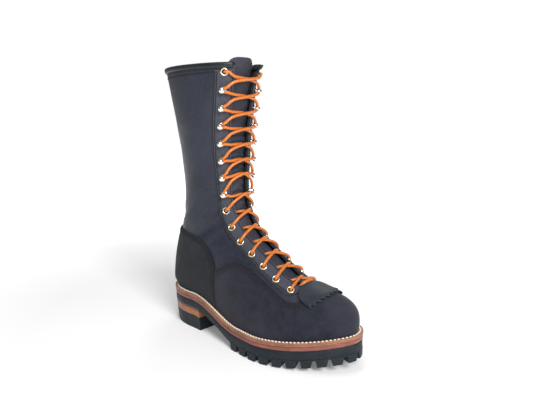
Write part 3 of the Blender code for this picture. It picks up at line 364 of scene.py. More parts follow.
LATERAL, MEDIAL = Side.LATERAL, Side.MEDIAL
CREASES = (
    Crease(LATERAL, (14.2, 0.22), (17.6, 0.52), 0.0075, 0.0016, 0.4),
    Crease(LATERAL, (16.2, 0.24), (19.6, 0.60), 0.0085, 0.0014, 0.5),
    Crease(LATERAL, (19.0, 0.30), (21.6, 0.74), 0.0080, 0.0011, -0.3),
    Crease(LATERAL, (22.2, 0.42), (23.6, 0.90), 0.0070, 0.0010, -0.2),
    Crease(LATERAL, (24.6, 0.34), (24.9, 0.74), 0.0110, 0.0007, 0.0),
    Crease(LATERAL, (27.1, 0.40), (26.8, 0.80), 0.0120, 0.0006, 0.1),
    Crease(LATERAL, (12.2, 0.24), (14.2, 0.40), 0.0060, 0.0011, 0.2),
    Crease(LATERAL, (6.6, 0.52), (5.8, 0.86), 0.0060, 0.0007, 0.1),
    Crease(LATERAL, (7.9, 0.56), (7.3, 0.90), 0.0065, 0.0006, 0.1),
    Crease(MEDIAL, (14.0, 0.22), (17.4, 0.54), 0.0080, 0.0016, 0.4),
    Crease(MEDIAL, (16.4, 0.26), (19.4, 0.62), 0.0085, 0.0014, 0.5),
    Crease(MEDIAL, (19.4, 0.30), (22.0, 0.76), 0.0080, 0.0011, -0.3),
    Crease(MEDIAL, (22.6, 0.40), (23.8, 0.88), 0.0070, 0.0009, -0.2),
    Crease(MEDIAL, (25.4, 0.36), (25.2, 0.78), 0.0110, 0.0007, 0.1),
    Crease(MEDIAL, (12.0, 0.24), (14.0, 0.42), 0.0060, 0.0011, 0.2),
    Crease(MEDIAL, (6.8, 0.50), (6.0, 0.84), 0.0060, 0.0008, 0.1),
    Crease(MEDIAL, (8.0, 0.54), (7.5, 0.88), 0.0065, 0.0006, 0.1),
)


@dataclass
class Last:
    """The form inside the boot, read at any row and any share of the way round from the front."""

    sole: SoleForm
    shaft_height: float = 0.304
    instep_height: float = 0.163
    calf_width: float = 0.096
    leg_widest: float = 0.50
    section_steps: int = 110
    facing_width: float = 0.0255
    throat_rows: tuple[float, ...] = (5.4, 6.4, 7.4, 10, 14, 20, 26, 30)
    throat_halves: tuple[float, ...] = (0.0, 0.0090, 0.0125, 0.0140, 0.0152, 0.0162, 0.0170, 0.0186)
    facing_end: tuple[float, float] = (6.3, 7.15)
    facing_rows: tuple[float, ...] = (6, 11, 13, 18, 30)
    facing_widths: tuple[float, ...] = (0.0212, 0.0212, 0.0225, 0.0250, 0.0255)
    vamp_rows: tuple[float, ...] = (5, 5.5, 6, 6.4, 6.85, 7.5, 8, 8.8, 9.7, 10.4, 10.85, 11.2, 11.5, 12)
    vamp_shares: tuple[float, ...] = (
        0.0, 0.28, 0.395, 0.418, 0.402, 0.370, 0.352, 0.338, 0.341, 0.362, 0.395, 0.450, 0.520, 0.640,
    )
    counter_rows: tuple[float, float] = (11, 23)
    seam_gap: float = 0.012
    flare_rows: tuple[float, float] = (29.2, 30.1)
    flare: float = 0.0085
    flare_reach: float = 0.020
    creases: tuple[Crease, ...] = CREASES
    curves: dict = field(default_factory=dict)
    trenches: list = field(default_factory=list)

    def sections(self, rows: Array) -> Array:
        """Front point, back point, half widths and shape of the sections at these rows.

        Args:
            rows: Rows of the last.

        Returns:
            A line of twelve values for each row.
        """
        sole = self.sole
        foot = columns(FOOT_COLUMNS, FOOT_SECTIONS)
        leg = columns(LEG_COLUMNS, LEG_SECTIONS)
        back, length = sole.welt_margin, sole.feather_length
        foot_x, front_x = back + length * foot["sole"], back + length * foot["front"]
        front_z = sole.feather(np.minimum(front_x, sole.length)) + self.instep_height * foot["rise"]
        heel_z = float(sole.feather(0.0))
        wide = sole.ball_width
        unset = np.zeros(len(FOOT_SECTIONS))
        feet = [
            front_x, front_z, foot_x, sole.feather(foot_x), foot["centre"] * wide,
            foot["lateral"] * wide, foot["medial"] * wide, unset, unset,
            foot["widest"], foot["crown"], foot["seat"],
        ]
        nothing = np.zeros(len(LEG_SECTIONS))
        half = leg["width"] * self.calf_width
        legs = [
            back + length * leg["front"], heel_z + self.shaft_height * leg["front_rise"],
            back + length * leg["back"], heel_z + self.shaft_height * leg["back_rise"],
            nothing, half, half, nothing, nothing, nothing + self.leg_widest, leg["crown"], leg["seat"],
        ]
        every = np.vstack([np.stack(feet, axis=1), np.stack(legs, axis=1)])
        found = curve_through(np.arange(len(every)), every, rows)
        low = np.asarray(rows, float) <= HEEL_ROW
        x = found[low, 2]
        lateral, medial = sole.sides(x, sole.welt_margin)
        found[low, 3] = sole.feather(x)
        found[low, 7] = found[low, 4] - lateral
        found[low, 8] = medial - found[low, 4]
        found[:, 7:9] = np.maximum(found[:, 7:9], 0.0)
        return found

    def curve(self, row: float, side: Side) -> tuple[Array, Array]:
        """Half of a section, from the front to the feather line or the back.

        Args:
            row: The section's row.
            side: The half to follow.

        Returns:
            Its points, and their distances from the front.
        """
        key = (round(float(row), 6), side)
        if key in self.curves:
            return self.curves[key]
        values = self.sections(np.array([row]))[0]
        front_x, front_z, back_x, back_z, centre = values[:5]
        widest, crown, seat = values[9:12]
        bottom = values[7] if side is LATERAL else values[8]
        half = values[5] if side is LATERAL else values[6]
        steps = self.section_steps
        if widest >= 1.0:
            reach = math.acos((1 - 1 / widest) ** (crown / 2))
            half = bottom / math.sin(reach) ** (2 / crown)
            turn = np.linspace(0, reach, 2 * steps)
            depth = widest * (1 - np.cos(turn) ** (2 / crown))
            width = half * np.sin(turn) ** (2 / crown)
        else:
            half = max(half, bottom)
            turn = np.linspace(0, math.pi / 2, steps)
            reach = max(math.acos(min(1.0, bottom / half) ** (seat / 2)), 1e-3)
            under = np.linspace(0, reach, steps)[1:]
            lower = widest + (1 - widest) * (np.sin(under) / math.sin(reach)) ** (2 / seat)
            depth = np.concatenate([widest * (1 - np.cos(turn) ** (2 / crown)), lower])
            width = np.concatenate([half * np.sin(turn) ** (2 / crown), half * np.cos(under) ** (2 / seat)])
        points = np.stack(
            [
                front_x + depth * (back_x - front_x),
                centre + side.value * width,
                front_z + depth * (back_z - front_z),
            ],
            axis=1,
        )
        self.curves[key] = points, run_along(points)
        return self.curves[key]

    def length(self, row: float, side: Side) -> float:
        """Distance from the front to the feather line or the back."""
        return float(self.curve(row, side)[1][-1])

    def points(self, rows: Array, shares: Array, side: Side) -> Array:
        """Plain points of the last: one row of shares for each row.

        Args:
            rows: Rows of the last.
            shares: Places from the front (0) to the feather line or the back (1).
            side: The side of the boot.

        Returns:
            The points.
        """
        found = np.empty((*shares.shape, 3))
        for i, row in enumerate(rows):
            line, distance = self.curve(row, side)
            wanted = shares[i] * distance[-1]
            for axis in range(3):
                found[i, :, axis] = np.interp(wanted, distance, line[:, axis])
        return found

    def normals(self, rows: Array, shares: Array, side: Side) -> Array:
        """Outward unit normals of the plain last.

        Args:
            rows: Rows of the last.
            shares: Places from the front (0) to the feather line or the back (1).
            side: The side of the boot.

        Returns:
            The normals.
        """
        small = 0.02
        around = self.points(rows, np.clip(shares + small, 0, 1), side)
        around -= self.points(rows, np.clip(shares - small, 0, 1), side)
        along = self.points(rows + small, shares, side)
        along -= self.points(np.maximum(rows - small, 0.0), shares, side)
        normals = np.cross(along, around) * -side.value
        normals[shares < 1e-6, 1] = 0.0
        behind = (shares > 1 - 1e-6) & (rows[:, None] > HEEL_ROW)
        normals[behind, 1] = 0.0
        return unit(normals)

    def dig(self) -> None:
        """Lays out each crease as a line of points on the plain last."""
        steps = np.linspace(0.0, 1.0, 15)
        for crease in self.creases:
            (row_a, share_a), (row_b, share_b) = crease.start, crease.end
            rows = row_a + (row_b - row_a) * steps + crease.sag * np.sin(math.pi * steps)
            shares = share_a + (share_b - share_a) * steps
            line = self.points(rows, shares[:, None], crease.side)[:, 0]
            self.trenches.append((crease, line, np.sin(math.pi * np.clip(steps, 0.02, 0.98)) ** 0.7))

    def relief(self, points: Array, side: Side) -> Array:
        """Height of the creases above the plain last at these points.

        Args:
            points: The points to read.
            side: The side of the boot.

        Returns:
            The height at each point.
        """
        if not self.trenches:
            self.dig()
        height = np.zeros(points.shape[:-1])
        for crease, line, fade in self.trenches:
            if crease.side is not side:
                continue
            reach = 4.0 * crease.width
            near = np.all((points > line.min(0) - reach) & (points < line.max(0) + reach), axis=-1)
            if not near.any():
                continue
            apart = np.linalg.norm(points[near][:, None] - line[None], axis=-1)
            closest = apart.argmin(axis=1)
            away = apart[np.arange(len(closest)), closest] / crease.width
            trough = -np.exp(-(away**2)) + 0.42 * np.exp(-(((away - 1.7) / 0.9) ** 2))
            height[near] += crease.depth * fade[closest] * trough
        return height

    def skin(self, rows: Array, shares: Array, side: Side) -> tuple[Array, Array]:
        """Points and outward normals of the creased last, with the medial top corner turned out.

        Args:
            rows: A row for each line of shares.
            shares: Places from the front (0) to the feather line or the back (1).
            side: The side of the boot.

        Returns:
            Points and normals, each of the shape of `shares` and 3.
        """
        rows = np.asarray(rows, float)
        plain = self.points(rows, shares, side)
        normals = self.normals(rows, shares, side)
        lift = self.relief(plain, side)
        if side is MEDIAL:
            lengths = np.array([self.length(row, side) for row in rows])[:, None]
            low, high = self.flare_rows
            inside = 1 - (shares * lengths - self.throat(rows)[:, None]) / self.flare_reach
            rise = smoothstep((rows - low) / (high - low))[:, None]
            lift = lift + self.flare * rise * smoothstep(inside)
        return plain + normals * lift[..., None], normals

    def place(self, row: float, across: float, height: float) -> tuple[Array, Array]:
        """A point over the front of the last and its normal.

        Args:
            row: The row.
            across: Distance from the centre line, negative on the lateral side.
            height: Height above the last.

        Returns:
            The point and the outward normal.
        """
        side = LATERAL if across < 0 else MEDIAL
        share = np.array([[abs(across) / self.length(row, side)]])
        point, normal = self.skin(np.array([row]), share, side)
        return point[0, 0] + normal[0, 0] * height, normal[0, 0]

    def throat(self, rows: Array) -> Array:
        """Half the throat's opening at these rows, along the surface.

        Args:
            rows: Rows of the last.

        Returns:
            The half width at each row.
        """
        rows = np.asarray(rows, float)
        halves = curve_through(self.throat_rows, self.throat_halves, rows)
        return np.where(rows > self.throat_rows[0], halves, 0.0)

    def rounding(self, rows: Array) -> Array:
        """Share of its full width that the facing has at these rows.

        Args:
            rows: Rows of the last.

        Returns:
            The share at each row.
        """
        low, high = self.facing_end
        along = np.clip((np.asarray(rows, float) - low) / (high - low) + 0.1, 0.0, 1.0)
        return np.sqrt(1 - (1 - along) ** 2)

    def lengths(self, rows: Array, side: Side) -> Array:
        """Length of the half section at each of these rows."""
        return np.array([self.length(row, side) for row in rows])

    def vamp_edge(self, rows: Array) -> Array:
        """Share at which the vamp's arched seam lies."""
        held = np.clip(rows, self.vamp_rows[0], self.vamp_rows[-1])
        return curve_through(self.vamp_rows, self.vamp_shares, held)

    def counter_edge(self, rows: Array, side: Side) -> Array:
        """Share at which each row passes behind the counter's edge, or 1.

        Args:
            rows: Rows of the last.
            side: The side of the boot.

        Returns:
            The share at each row.
        """
        edge = columns(COUNTER_COLUMNS, COUNTER_EDGE)
        heights = float(self.sole.feather(0.0)) + self.shaft_height * edge["up"]
        shares = []
        for row in rows:
            line, distance = self.curve(row, side)
            ahead = line[:, 0] - self.sole.length * curve_through(heights, edge["along"], line[:, 2])
            behind = np.flatnonzero(ahead < 0)
            if not len(behind) or row <= self.counter_rows[0]:
                shares.append(1.0)
                continue
            last = max(int(behind[0]), 1)
            step = ahead[last - 1] / (ahead[last - 1] - ahead[last])
            shares.append((distance[last - 1] + step * (distance[last] - distance[last - 1])) / distance[-1])
        return np.array(shares)

    def beside(self, rows: Array, shares: Array, side: Side, inset: float) -> tuple[Array, Array]:
        """A line that runs beside another on the surface.

        Args:
            rows: Rows of the line's places.
            shares: Shares of the line's places.
            side: The side of the boot.
            inset: Distance to the left of the line as it runs, seen from outside.

        Returns:
            Rows and shares of the new line.
        """
        small = 0.02
        here = self.points(rows, shares[:, None], side)[:, 0]
        by_row = (self.points(rows + small, shares[:, None], side)[:, 0] - here) / small
        by_share = (self.points(rows, shares[:, None] - small, side)[:, 0] - here) / -small
        normal = self.normals(rows, shares[:, None], side)[:, 0]
        tangent = unit(np.gradient(here, axis=0))
        wanted = np.cross(normal, tangent) * inset
        moved = []
        for row_way, share_way, goal in zip(by_row, by_share, wanted):
            steps, *_ = np.linalg.lstsq(np.stack([row_way, share_way], axis=1), goal, rcond=None)
            moved.append(steps)
        moved = np.array(moved)
        return rows + moved[:, 0], shares + moved[:, 1]


class Palette:
    """Shader node helpers: each makes a node in one material and returns its output."""

    def __init__(self, name: str) -> None:
        """Starts a material with its Principled shader.

        Args:
            name: The material's name.
        """
        self.material = bpy.data.materials.new(name)
        self.material.use_nodes = True
        self.tree = self.material.node_tree
        self.shader = self.tree.nodes["Principled BSDF"]
        self.where = self.tree.nodes.new("ShaderNodeTexCoord").outputs["Object"]

    def set(self, **values: float) -> None:
        """Sets constant values on the shader's own sockets, underscores standing for spaces."""
        for key, value in values.items():
            self.shader.inputs[key.replace("_", " ")].default_value = value

    def link(self, source: bpy.types.NodeSocket, target: bpy.types.NodeSocket) -> None:
        """Joins two sockets."""
        self.tree.links.new(source, target)

    def stretched(self, scale: Sequence[float]) -> bpy.types.NodeSocket:
        """The object's coordinates, stretched.

        Args:
            scale: Scale along each axis.

        Returns:
            The node's output.
        """
        node = self.tree.nodes.new("ShaderNodeMapping")
        node.inputs["Scale"].default_value = scale
        self.link(self.where, node.inputs["Vector"])
        return node.outputs["Vector"]

    def noise(
        self, size: float, detail: float = 3.0, rough: float = 0.5, stretch: Sequence[float] = (1, 1, 1)
    ) -> bpy.types.NodeSocket:
        """Noise whose features are about `size` metres across.

        Args:
            size: Size of a feature in metres.
            detail: Octaves of finer noise.
            rough: Strength of the finer ones.
            stretch: Stretch along each axis.

        Returns:
            The node's output.
        """
        node = self.tree.nodes.new("ShaderNodeTexNoise")
        node.inputs["Scale"].default_value = 1.0 / size
        node.inputs["Detail"].default_value = detail
        node.inputs["Roughness"].default_value = rough
        self.link(self.stretched(stretch), node.inputs["Vector"])
        return node.outputs["Fac"]

    def cells(self, size: float, edges: bool = False) -> bpy.types.NodeSocket:
        """Cells of about `size` metres: the distance to their centres or edges.

        Args:
            size: Size of a feature in metres.
            edges: Whether to measure to the edges.

        Returns:
            The node's output.
        """
        node = self.tree.nodes.new("ShaderNodeTexVoronoi")
        node.feature = "DISTANCE_TO_EDGE" if edges else "F1"
        node.inputs["Scale"].default_value = 1.0 / size
        self.link(self.where, node.inputs["Vector"])
        return node.outputs["Distance"]

    def ramp(
        self, source: bpy.types.NodeSocket, stops: Sequence[tuple[float, Sequence[float]]]
    ) -> bpy.types.NodeSocket:
        """A colour ramp through (place, colour) stops.

        Args:
            source: The values.
            stops: Places and colours.

        Returns:
            The node's output.
        """
        node = self.tree.nodes.new("ShaderNodeValToRGB")
        ramp = node.color_ramp
        while len(ramp.elements) < len(stops):
            ramp.elements.new(0.5)
        for element, (place, colour) in zip(ramp.elements, stops):
            element.position = place
            element.color = (*colour, 1.0)
        self.link(source, node.inputs["Fac"])
        return node.outputs["Color"]

    def span(
        self, source: bpy.types.NodeSocket, low: float, high: float, near: float = 0.3, far: float = 0.7
    ) -> bpy.types.NodeSocket:
        """The source's values between `near` and `far`, spread from low to high.

        Args:
            source: The values.
            low: Value at `near`.
            high: Value at `far`.
            near: Lowest value read.
            far: Highest value read.

        Returns:
            The node's output.
        """
        node = self.tree.nodes.new("ShaderNodeMapRange")
        for key, value in (("From Min", near), ("From Max", far), ("To Min", low), ("To Max", high)):
            node.inputs[key].default_value = value
        self.link(source, node.inputs["Value"])
        return node.outputs["Result"]

    def math(self, operation: str, *values: object) -> bpy.types.NodeSocket:
        """A Math node on sockets or numbers.

        Args:
            operation: The node's operation.
            values: Sockets or numbers.

        Returns:
            The node's output.
        """
        node = self.tree.nodes.new("ShaderNodeMath")
        node.operation = operation
        for socket, value in zip(node.inputs, values):
            if isinstance(value, (int, float)):
                socket.default_value = value
            else:
                self.link(value, socket)
        return node.outputs[0]

    def blend(
        self, share: bpy.types.NodeSocket, first: bpy.types.NodeSocket, second: object,
        mode: str = "MIX"
    ) -> bpy.types.NodeSocket:
        """Mixes two colours by a share.

        Args:
            share: Share of the second.
            first: First colour.
            second: Second colour, or its socket.
            mode: Way of mixing.

        Returns:
            The node's output.
        """
        node = self.tree.nodes.new("ShaderNodeMix")
        node.data_type = "RGBA"
        node.blend_type = mode
        self.link(share, node.inputs["Factor"])
        self.link(first, node.inputs["A"])
        if isinstance(second, bpy.types.NodeSocket):
            self.link(second, node.inputs["B"])
        else:
            node.inputs["B"].default_value = (*second, 1.0)
        return node.outputs["Result"]

    def bump(
        self, height: bpy.types.NodeSocket, depth: float, after: Optional[bpy.types.NodeSocket] = None
    ) -> bpy.types.NodeSocket:
        """A bump of this depth in metres, after another one if given.

        Args:
            height: The relief.
            depth: Its depth.
            after: The bump below it.

        Returns:
            The node's output.
        """
        node = self.tree.nodes.new("ShaderNodeBump")
        node.inputs["Strength"].default_value = 1.0
        node.inputs["Distance"].default_value = depth
        self.link(height, node.inputs["Height"])
        if after is not None:
            self.link(after, node.inputs["Normal"])
        return node.outputs["Normal"]

    def finish(
        self, colour: bpy.types.NodeSocket, roughness: bpy.types.NodeSocket,
        normal: bpy.types.NodeSocket
    ) -> bpy.types.Material:
        """Joins colour, roughness and normal to the shader and returns the material.

        Args:
            colour: Base colour.
            roughness: Roughness.
            normal: Bumped normal.

        Returns:
            The material.
        """
        self.link(colour, self.shader.inputs["Base Color"])
        self.link(roughness, self.shader.inputs["Roughness"])
        self.link(normal, self.shader.inputs["Normal"])
        return self.material


@dataclass(frozen=True)
class SmoothLeather:
    """Oiled grain leather: fine pores, soft pull-up tone, a low wax coat."""

    name: str
    dark: tuple[float, float, float]
    light: tuple[float, float, float]
    roughness: tuple[float, float] = (0.40, 0.54)
    grain: float = 0.0011
    depth: float = 0.00007
    coat: float = 0.12
    bloom: float = 0.25

    def make(self) -> bpy.types.Material:
        """Builds the leather's material.

        Returns:
            The material.
        """
        paint = Palette(self.name)
        tone = paint.noise(0.045, 4.0, 0.55)
        mottle = paint.noise(0.004, 3.0, 0.6)
        colour = paint.ramp(tone, [(0.30, self.dark), (0.72, self.light)])
        pale = [c * (1 + self.bloom) + 0.004 for c in self.light]
        colour = paint.blend(paint.span(mottle, 0.0, 0.55, 0.45, 0.75), colour, pale)
        pores = paint.cells(self.grain, edges=True)
        fine = paint.noise(self.grain * 0.35, 2.0, 0.6)
        normal = paint.bump(paint.span(pores, 0.0, 1.0, 0.0, 0.25), self.depth)
        normal = paint.bump(fine, self.depth * 0.6, normal)
        normal = paint.bump(paint.noise(0.012, 2.0, 0.5), 0.00025, normal)
        paint.set(Coat_Weight=self.coat, Coat_Roughness=0.32, Specular_IOR_Level=0.30)
        return paint.finish(colour, paint.span(mottle, *self.roughness), normal)


@dataclass(frozen=True)
class RoughOut:
    """Flesh-side leather: a short brushed nap in patches, matt with a dusty sheen."""

    name: str
    dark: tuple[float, float, float]
    light: tuple[float, float, float]
    dust: tuple[float, float, float]
    fibre: float = 0.0009
    depth: float = 0.00022
    sheen: float = 0.10

    def make(self) -> bpy.types.Material:
        """Builds the nap's material.

        Returns:
            The material.
        """
        paint = Palette(self.name)
        brushed = paint.noise(0.009, 5.0, 0.65)
        cloud = paint.noise(0.055, 3.0, 0.5)
        fibres = paint.noise(self.fibre, 4.0, 0.7)
        colour = paint.ramp(brushed, [(0.32, self.dark), (0.68, self.light)])
        colour = paint.blend(paint.span(cloud, 0.0, 0.55, 0.42, 0.72), colour, self.dust)
        colour = paint.blend(paint.span(fibres, 0.0, 0.45, 0.5, 0.8), colour, self.dust)
        normal = paint.bump(fibres, self.depth)
        normal = paint.bump(paint.noise(self.fibre * 0.4, 2.0, 0.6), self.depth * 0.5, normal)
        normal = paint.bump(brushed, 0.00035, normal)
        paint.set(Sheen_Weight=self.sheen, Sheen_Roughness=0.5, Specular_IOR_Level=0.12)
        return paint.finish(colour, paint.span(brushed, 0.80, 0.92), normal)


@dataclass(frozen=True)
class SoleLeather:
    """Firm leather: flat with flesh specks, or a burnished edge with fine layers."""

    name: str
    dark: tuple[float, float, float]
    light: tuple[float, float, float]
    layer: float = 0.0
    roughness: tuple[float, float] = (0.45, 0.62)
    coat: float = 0.1

    def make(self) -> bpy.types.Material:
        """Builds the material.

        Returns:
            The material.
        """
        paint = Palette(self.name)
        stretch = (1, 1, 1) if not self.layer else (0.12, 0.12, 1.0)
        tone = paint.noise(0.018, 4.0, 0.6)
        grain = paint.noise(self.layer or 0.0012, 4.0, 0.65, stretch)
        colour = paint.ramp(grain, [(0.30, self.dark), (0.66, self.light)])
        shade = [c * 0.55 for c in self.dark]
        colour = paint.blend(paint.span(tone, 0.0, 0.6, 0.45, 0.80), colour, shade)
        normal = paint.bump(grain, 0.00012)
        normal = paint.bump(paint.noise(0.0005, 2.0, 0.6), 0.00005, normal)
        paint.set(Coat_Weight=self.coat, Coat_Roughness=0.3)
        return paint.finish(colour, paint.span(tone, *self.roughness), normal)


@dataclass(frozen=True)
class Rubber:
    """Moulded black rubber: fine matt texture, grey bloom and a little dust."""

    name: str
    dark: tuple[float, float, float]
    bloom: tuple[float, float, float]

    def make(self) -> bpy.types.Material:
        """Builds the rubber's material.

        Returns:
            The material.
        """
        paint = Palette(self.name)
        cloud = paint.noise(0.014, 4.0, 0.6)
        speck = paint.noise(0.0011, 3.0, 0.6)
        colour = paint.ramp(cloud, [(0.35, self.dark), (0.75, self.bloom)])
        colour = paint.blend(paint.span(speck, 0.0, 0.5, 0.55, 0.8), colour, self.bloom)
        normal = paint.bump(speck, 0.00008)
        normal = paint.bump(paint.noise(0.006, 2.0, 0.5), 0.00012, normal)
        paint.set(Specular_IOR_Level=0.35)
        return paint.finish(colour, paint.span(cloud, 0.48, 0.68), normal)


@dataclass(frozen=True)
class Braid:
    """Round braided cord, its strands crossing both ways round it."""

    name: str
    # shade and crown are painted shade and painted highlight of the strands; body is the cord's own orange.
    shade: tuple[float, float, float]
    body: tuple[float, float, float]
    crown: tuple[float, float, float]
    strand: float = 0.0019
    around: float = 4.0

    def make(self) -> bpy.types.Material:
        """Builds the cord's material from its own lengthwise and round coordinates.

        Returns:
            The material.
        """
        paint = Palette(self.name)
        coordinates = paint.tree.nodes.new("ShaderNodeTexCoord").outputs["UV"]
        split = paint.tree.nodes.new("ShaderNodeSeparateXYZ")
        paint.link(coordinates, split.inputs[0])
        along = paint.math("MULTIPLY", split.outputs[0], 2 * math.pi / self.strand)
        turn = paint.math("MULTIPLY", split.outputs[1], 2 * math.pi * self.around)
        left = paint.math("SINE", paint.math("ADD", along, turn))
        right = paint.math("SINE", paint.math("SUBTRACT", along, turn))
        weave = paint.math("MULTIPLY", left, right)
        height = paint.span(weave, 0.0, 1.0, -1.0, 1.0)
        # Painted shade and highlight: the weave's hollows take the dark rust shade and its crowns the pale
        # gold crown, as light and shade would fall on the strands.
        colour = paint.ramp(height, [(0.18, self.shade), (0.52, self.body), (0.92, self.crown)])
        fleck = paint.noise(0.0016, 3.0, 0.6)
        # Random flecks darken towards the same painted shade colour.
        colour = paint.blend(paint.span(fleck, 0.0, 0.5, 0.5, 0.8), colour, self.shade)
        normal = paint.bump(height, 0.00022)
        normal = paint.bump(paint.noise(0.0004, 2.0, 0.6), 0.00005, normal)
        paint.set(Coat_Weight=0.6, Coat_Roughness=0.28, Specular_IOR_Level=0.5)
        paint.set(Coat_Tint=(1.0, 0.86, 0.55, 1.0))
        return paint.finish(colour, paint.span(fleck, 0.42, 0.62), normal)


@dataclass(frozen=True)
class Thread:
    """Waxed thread with a twist."""

    name: str
    dark: tuple[float, float, float]
    light: tuple[float, float, float]

    def make(self) -> bpy.types.Material:
        """Builds the thread's material.

        Returns:
            The material.
        """
        paint = Palette(self.name)
        twist = paint.noise(0.0009, 3.0, 0.6)
        colour = paint.ramp(twist, [(0.35, self.dark), (0.65, self.light)])
        normal = paint.bump(paint.noise(0.0005, 2.0, 0.6), 0.00006)
        return paint.finish(colour, paint.span(twist, 0.5, 0.66), normal)


@dataclass(frozen=True)
class Plated:
    """Plated metal with slight handling marks."""

    name: str
    bright: tuple[float, float, float]
    worn: tuple[float, float, float]
    roughness: tuple[float, float] = (0.16, 0.30)

    def make(self) -> bpy.types.Material:
        """Builds the metal's material.

        Returns:
            The material.
        """
        paint = Palette(self.name)
        marks = paint.noise(0.0035, 4.0, 0.6)
        colour = paint.ramp(marks, [(0.40, self.bright), (0.78, self.worn)])
        normal = paint.bump(paint.noise(0.0012, 2.0, 0.5), 0.00002)
        paint.set(Metallic=1.0)
        return paint.finish(colour, paint.span(marks, *self.roughness), normal)


FINISHES = (
    SmoothLeather("shaft_leather", (0.011, 0.0135, 0.024), (0.023, 0.027, 0.044), (0.33, 0.44)),
    SmoothLeather(
        "facing_leather", (0.032, 0.035, 0.050), (0.050, 0.054, 0.074), (0.46, 0.58), 0.0013, 0.00012, 0.04
    ),
    SmoothLeather(
        "binding_leather", (0.004, 0.006, 0.008), (0.011, 0.014, 0.016), (0.26, 0.38), 0.0010, 0.00005, 0.20
    ),
    SmoothLeather(
        "tongue_leather", (0.022, 0.023, 0.034), (0.036, 0.037, 0.052), (0.52, 0.64), 0.0013, 0.00010, 0.02
    ),
    SmoothLeather(
        "kiltie_leather", (0.011, 0.016, 0.024), (0.022, 0.029, 0.040), (0.48, 0.60), 0.0012, 0.00008, 0.04
    ),
    RoughOut("vamp_nap", (0.012, 0.013, 0.021), (0.022, 0.024, 0.036), (0.046, 0.046, 0.062)),
    RoughOut("counter_nap", (0.008, 0.010, 0.014), (0.017, 0.018, 0.024), (0.036, 0.034, 0.040)),
    RoughOut("lining_flesh", (0.018, 0.016, 0.016), (0.032, 0.029, 0.028), (0.055, 0.048, 0.046)),
    SoleLeather("welt_face", (0.32, 0.165, 0.085), (0.52, 0.30, 0.17)),
    SoleLeather("welt_side", (0.24, 0.092, 0.046), (0.40, 0.170, 0.088), 0.0016, coat=0.20),
    SoleLeather("midsole_side", (0.180, 0.052, 0.036), (0.285, 0.092, 0.064), 0.0016, coat=0.20),
    SoleLeather("lift_side", (0.26, 0.085, 0.026), (0.46, 0.18, 0.060), 0.0018, coat=0.20),
    SoleLeather("slip_side", (0.09, 0.045, 0.016), (0.20, 0.10, 0.036), 0.0009, coat=0.20),
    SoleLeather("insole_face", (0.33, 0.20, 0.12), (0.50, 0.33, 0.21)),
    Rubber("black_rubber", (0.004, 0.008, 0.012), (0.012, 0.019, 0.027)),
    # Lace colours in order: painted shade, the cord's own orange, painted highlight.
    Braid("orange_braid", (0.26, 0.026, 0.004), (0.66, 0.135, 0.014), (0.95, 0.46, 0.065)),
    Thread("dark_thread", (0.001, 0.0012, 0.002), (0.004, 0.0045, 0.007)),
    Thread("pale_thread", (0.78, 0.74, 0.66), (0.94, 0.92, 0.87)),
    Plated("pale_brass", (0.90, 0.80, 0.58), (0.78, 0.60, 0.33)),
    Plated("bright_nickel", (0.86, 0.85, 0.80), (0.74, 0.66, 0.50), (0.14, 0.28)),
    # Near-black painted shade, on the rubber's shader: the disc in each eyelet's hole and the strip under the
    # upper's stitches.
    Rubber("painted_recess_shade", (0.004, 0.004, 0.005), (0.008, 0.008, 0.009)),
)


@dataclass
class Bench:
    """Turns finished vertices and faces into pieces that ride on the boot."""

    shift: float
    finishes: dict = field(default_factory=dict)
    made: list = field(default_factory=list)

    def finish(self, name: str) -> bpy.types.Material:
        """The material of this name."""
        return self.finishes[name]

    def piece(
        self,
        name: str,
        vertices: Array,
        faces: Sequence[Sequence[int]],
        finishes: Sequence[str],
        slot: str,
        nodes: Sequence[str] = (),
        picks: Optional[Sequence[int]] = None,
        sharp: float = 50.0,
        uvs: Optional[Array] = None,
    ) -> bpy.types.Object:
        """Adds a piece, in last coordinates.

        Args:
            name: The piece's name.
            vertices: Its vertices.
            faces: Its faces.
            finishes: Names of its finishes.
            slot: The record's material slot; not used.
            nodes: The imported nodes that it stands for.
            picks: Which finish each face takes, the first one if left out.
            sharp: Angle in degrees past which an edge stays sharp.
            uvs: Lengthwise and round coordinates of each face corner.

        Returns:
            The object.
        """
        mesh = bpy.data.meshes.new(name)
        moved = np.asarray(vertices, float) - np.array([self.shift, 0.0, 0.0])
        mesh.from_pydata(moved.tolist(), [], [tuple(map(int, face)) for face in faces])
        for finish in finishes:
            mesh.materials.append(self.finish(finish))
        if picks is not None:
            mesh.polygons.foreach_set("material_index", np.asarray(picks, np.int32))
        if uvs is not None:
            layer = mesh.uv_layers.new(name="cord")
            layer.data.foreach_set("uv", np.asarray(uvs, np.float32).ravel())
        mesh.validate()
        mesh.shade_smooth()
        mesh.set_sharp_from_angle(angle=math.radians(sharp))
        made = bpy.data.objects.new(name, mesh)
        bpy.context.scene.collection.objects.link(made)
        self.ride(made, nodes)
        return made

    def ride(self, made: bpy.types.Object, nodes: Sequence[str] = ()) -> None:
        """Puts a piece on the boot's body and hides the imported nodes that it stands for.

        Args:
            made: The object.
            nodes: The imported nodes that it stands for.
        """
        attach(made, "root")
        if nodes:
            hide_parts(*nodes)
        self.made.append(made)
        log.info("%s: %d faces for %s", made.name, len(made.data.polygons), ", ".join(nodes) or "no node")


def rim(points: Array, border: Array, radius: float) -> Array:
    """How far up a rounded edge each point is, from 0 on the border to 1 inside it.

    Args:
        points: The sheet's points.
        border: Points of its free edges.
        radius: The edge's radius.

    Returns:
        The share at each point.
    """
    flat = points.reshape(-1, 3)
    closest = np.full(len(flat), np.inf)
    for start in range(0, len(flat), 4000):
        part = flat[start : start + 4000]
        apart = np.linalg.norm(part[:, None] - border[None], axis=-1)
        closest[start : start + 4000] = apart.min(axis=1)
    share = np.clip(closest / radius, 0.0, 1.0)
    return np.sqrt(1 - (1 - share) ** 2).reshape(points.shape[:-1])


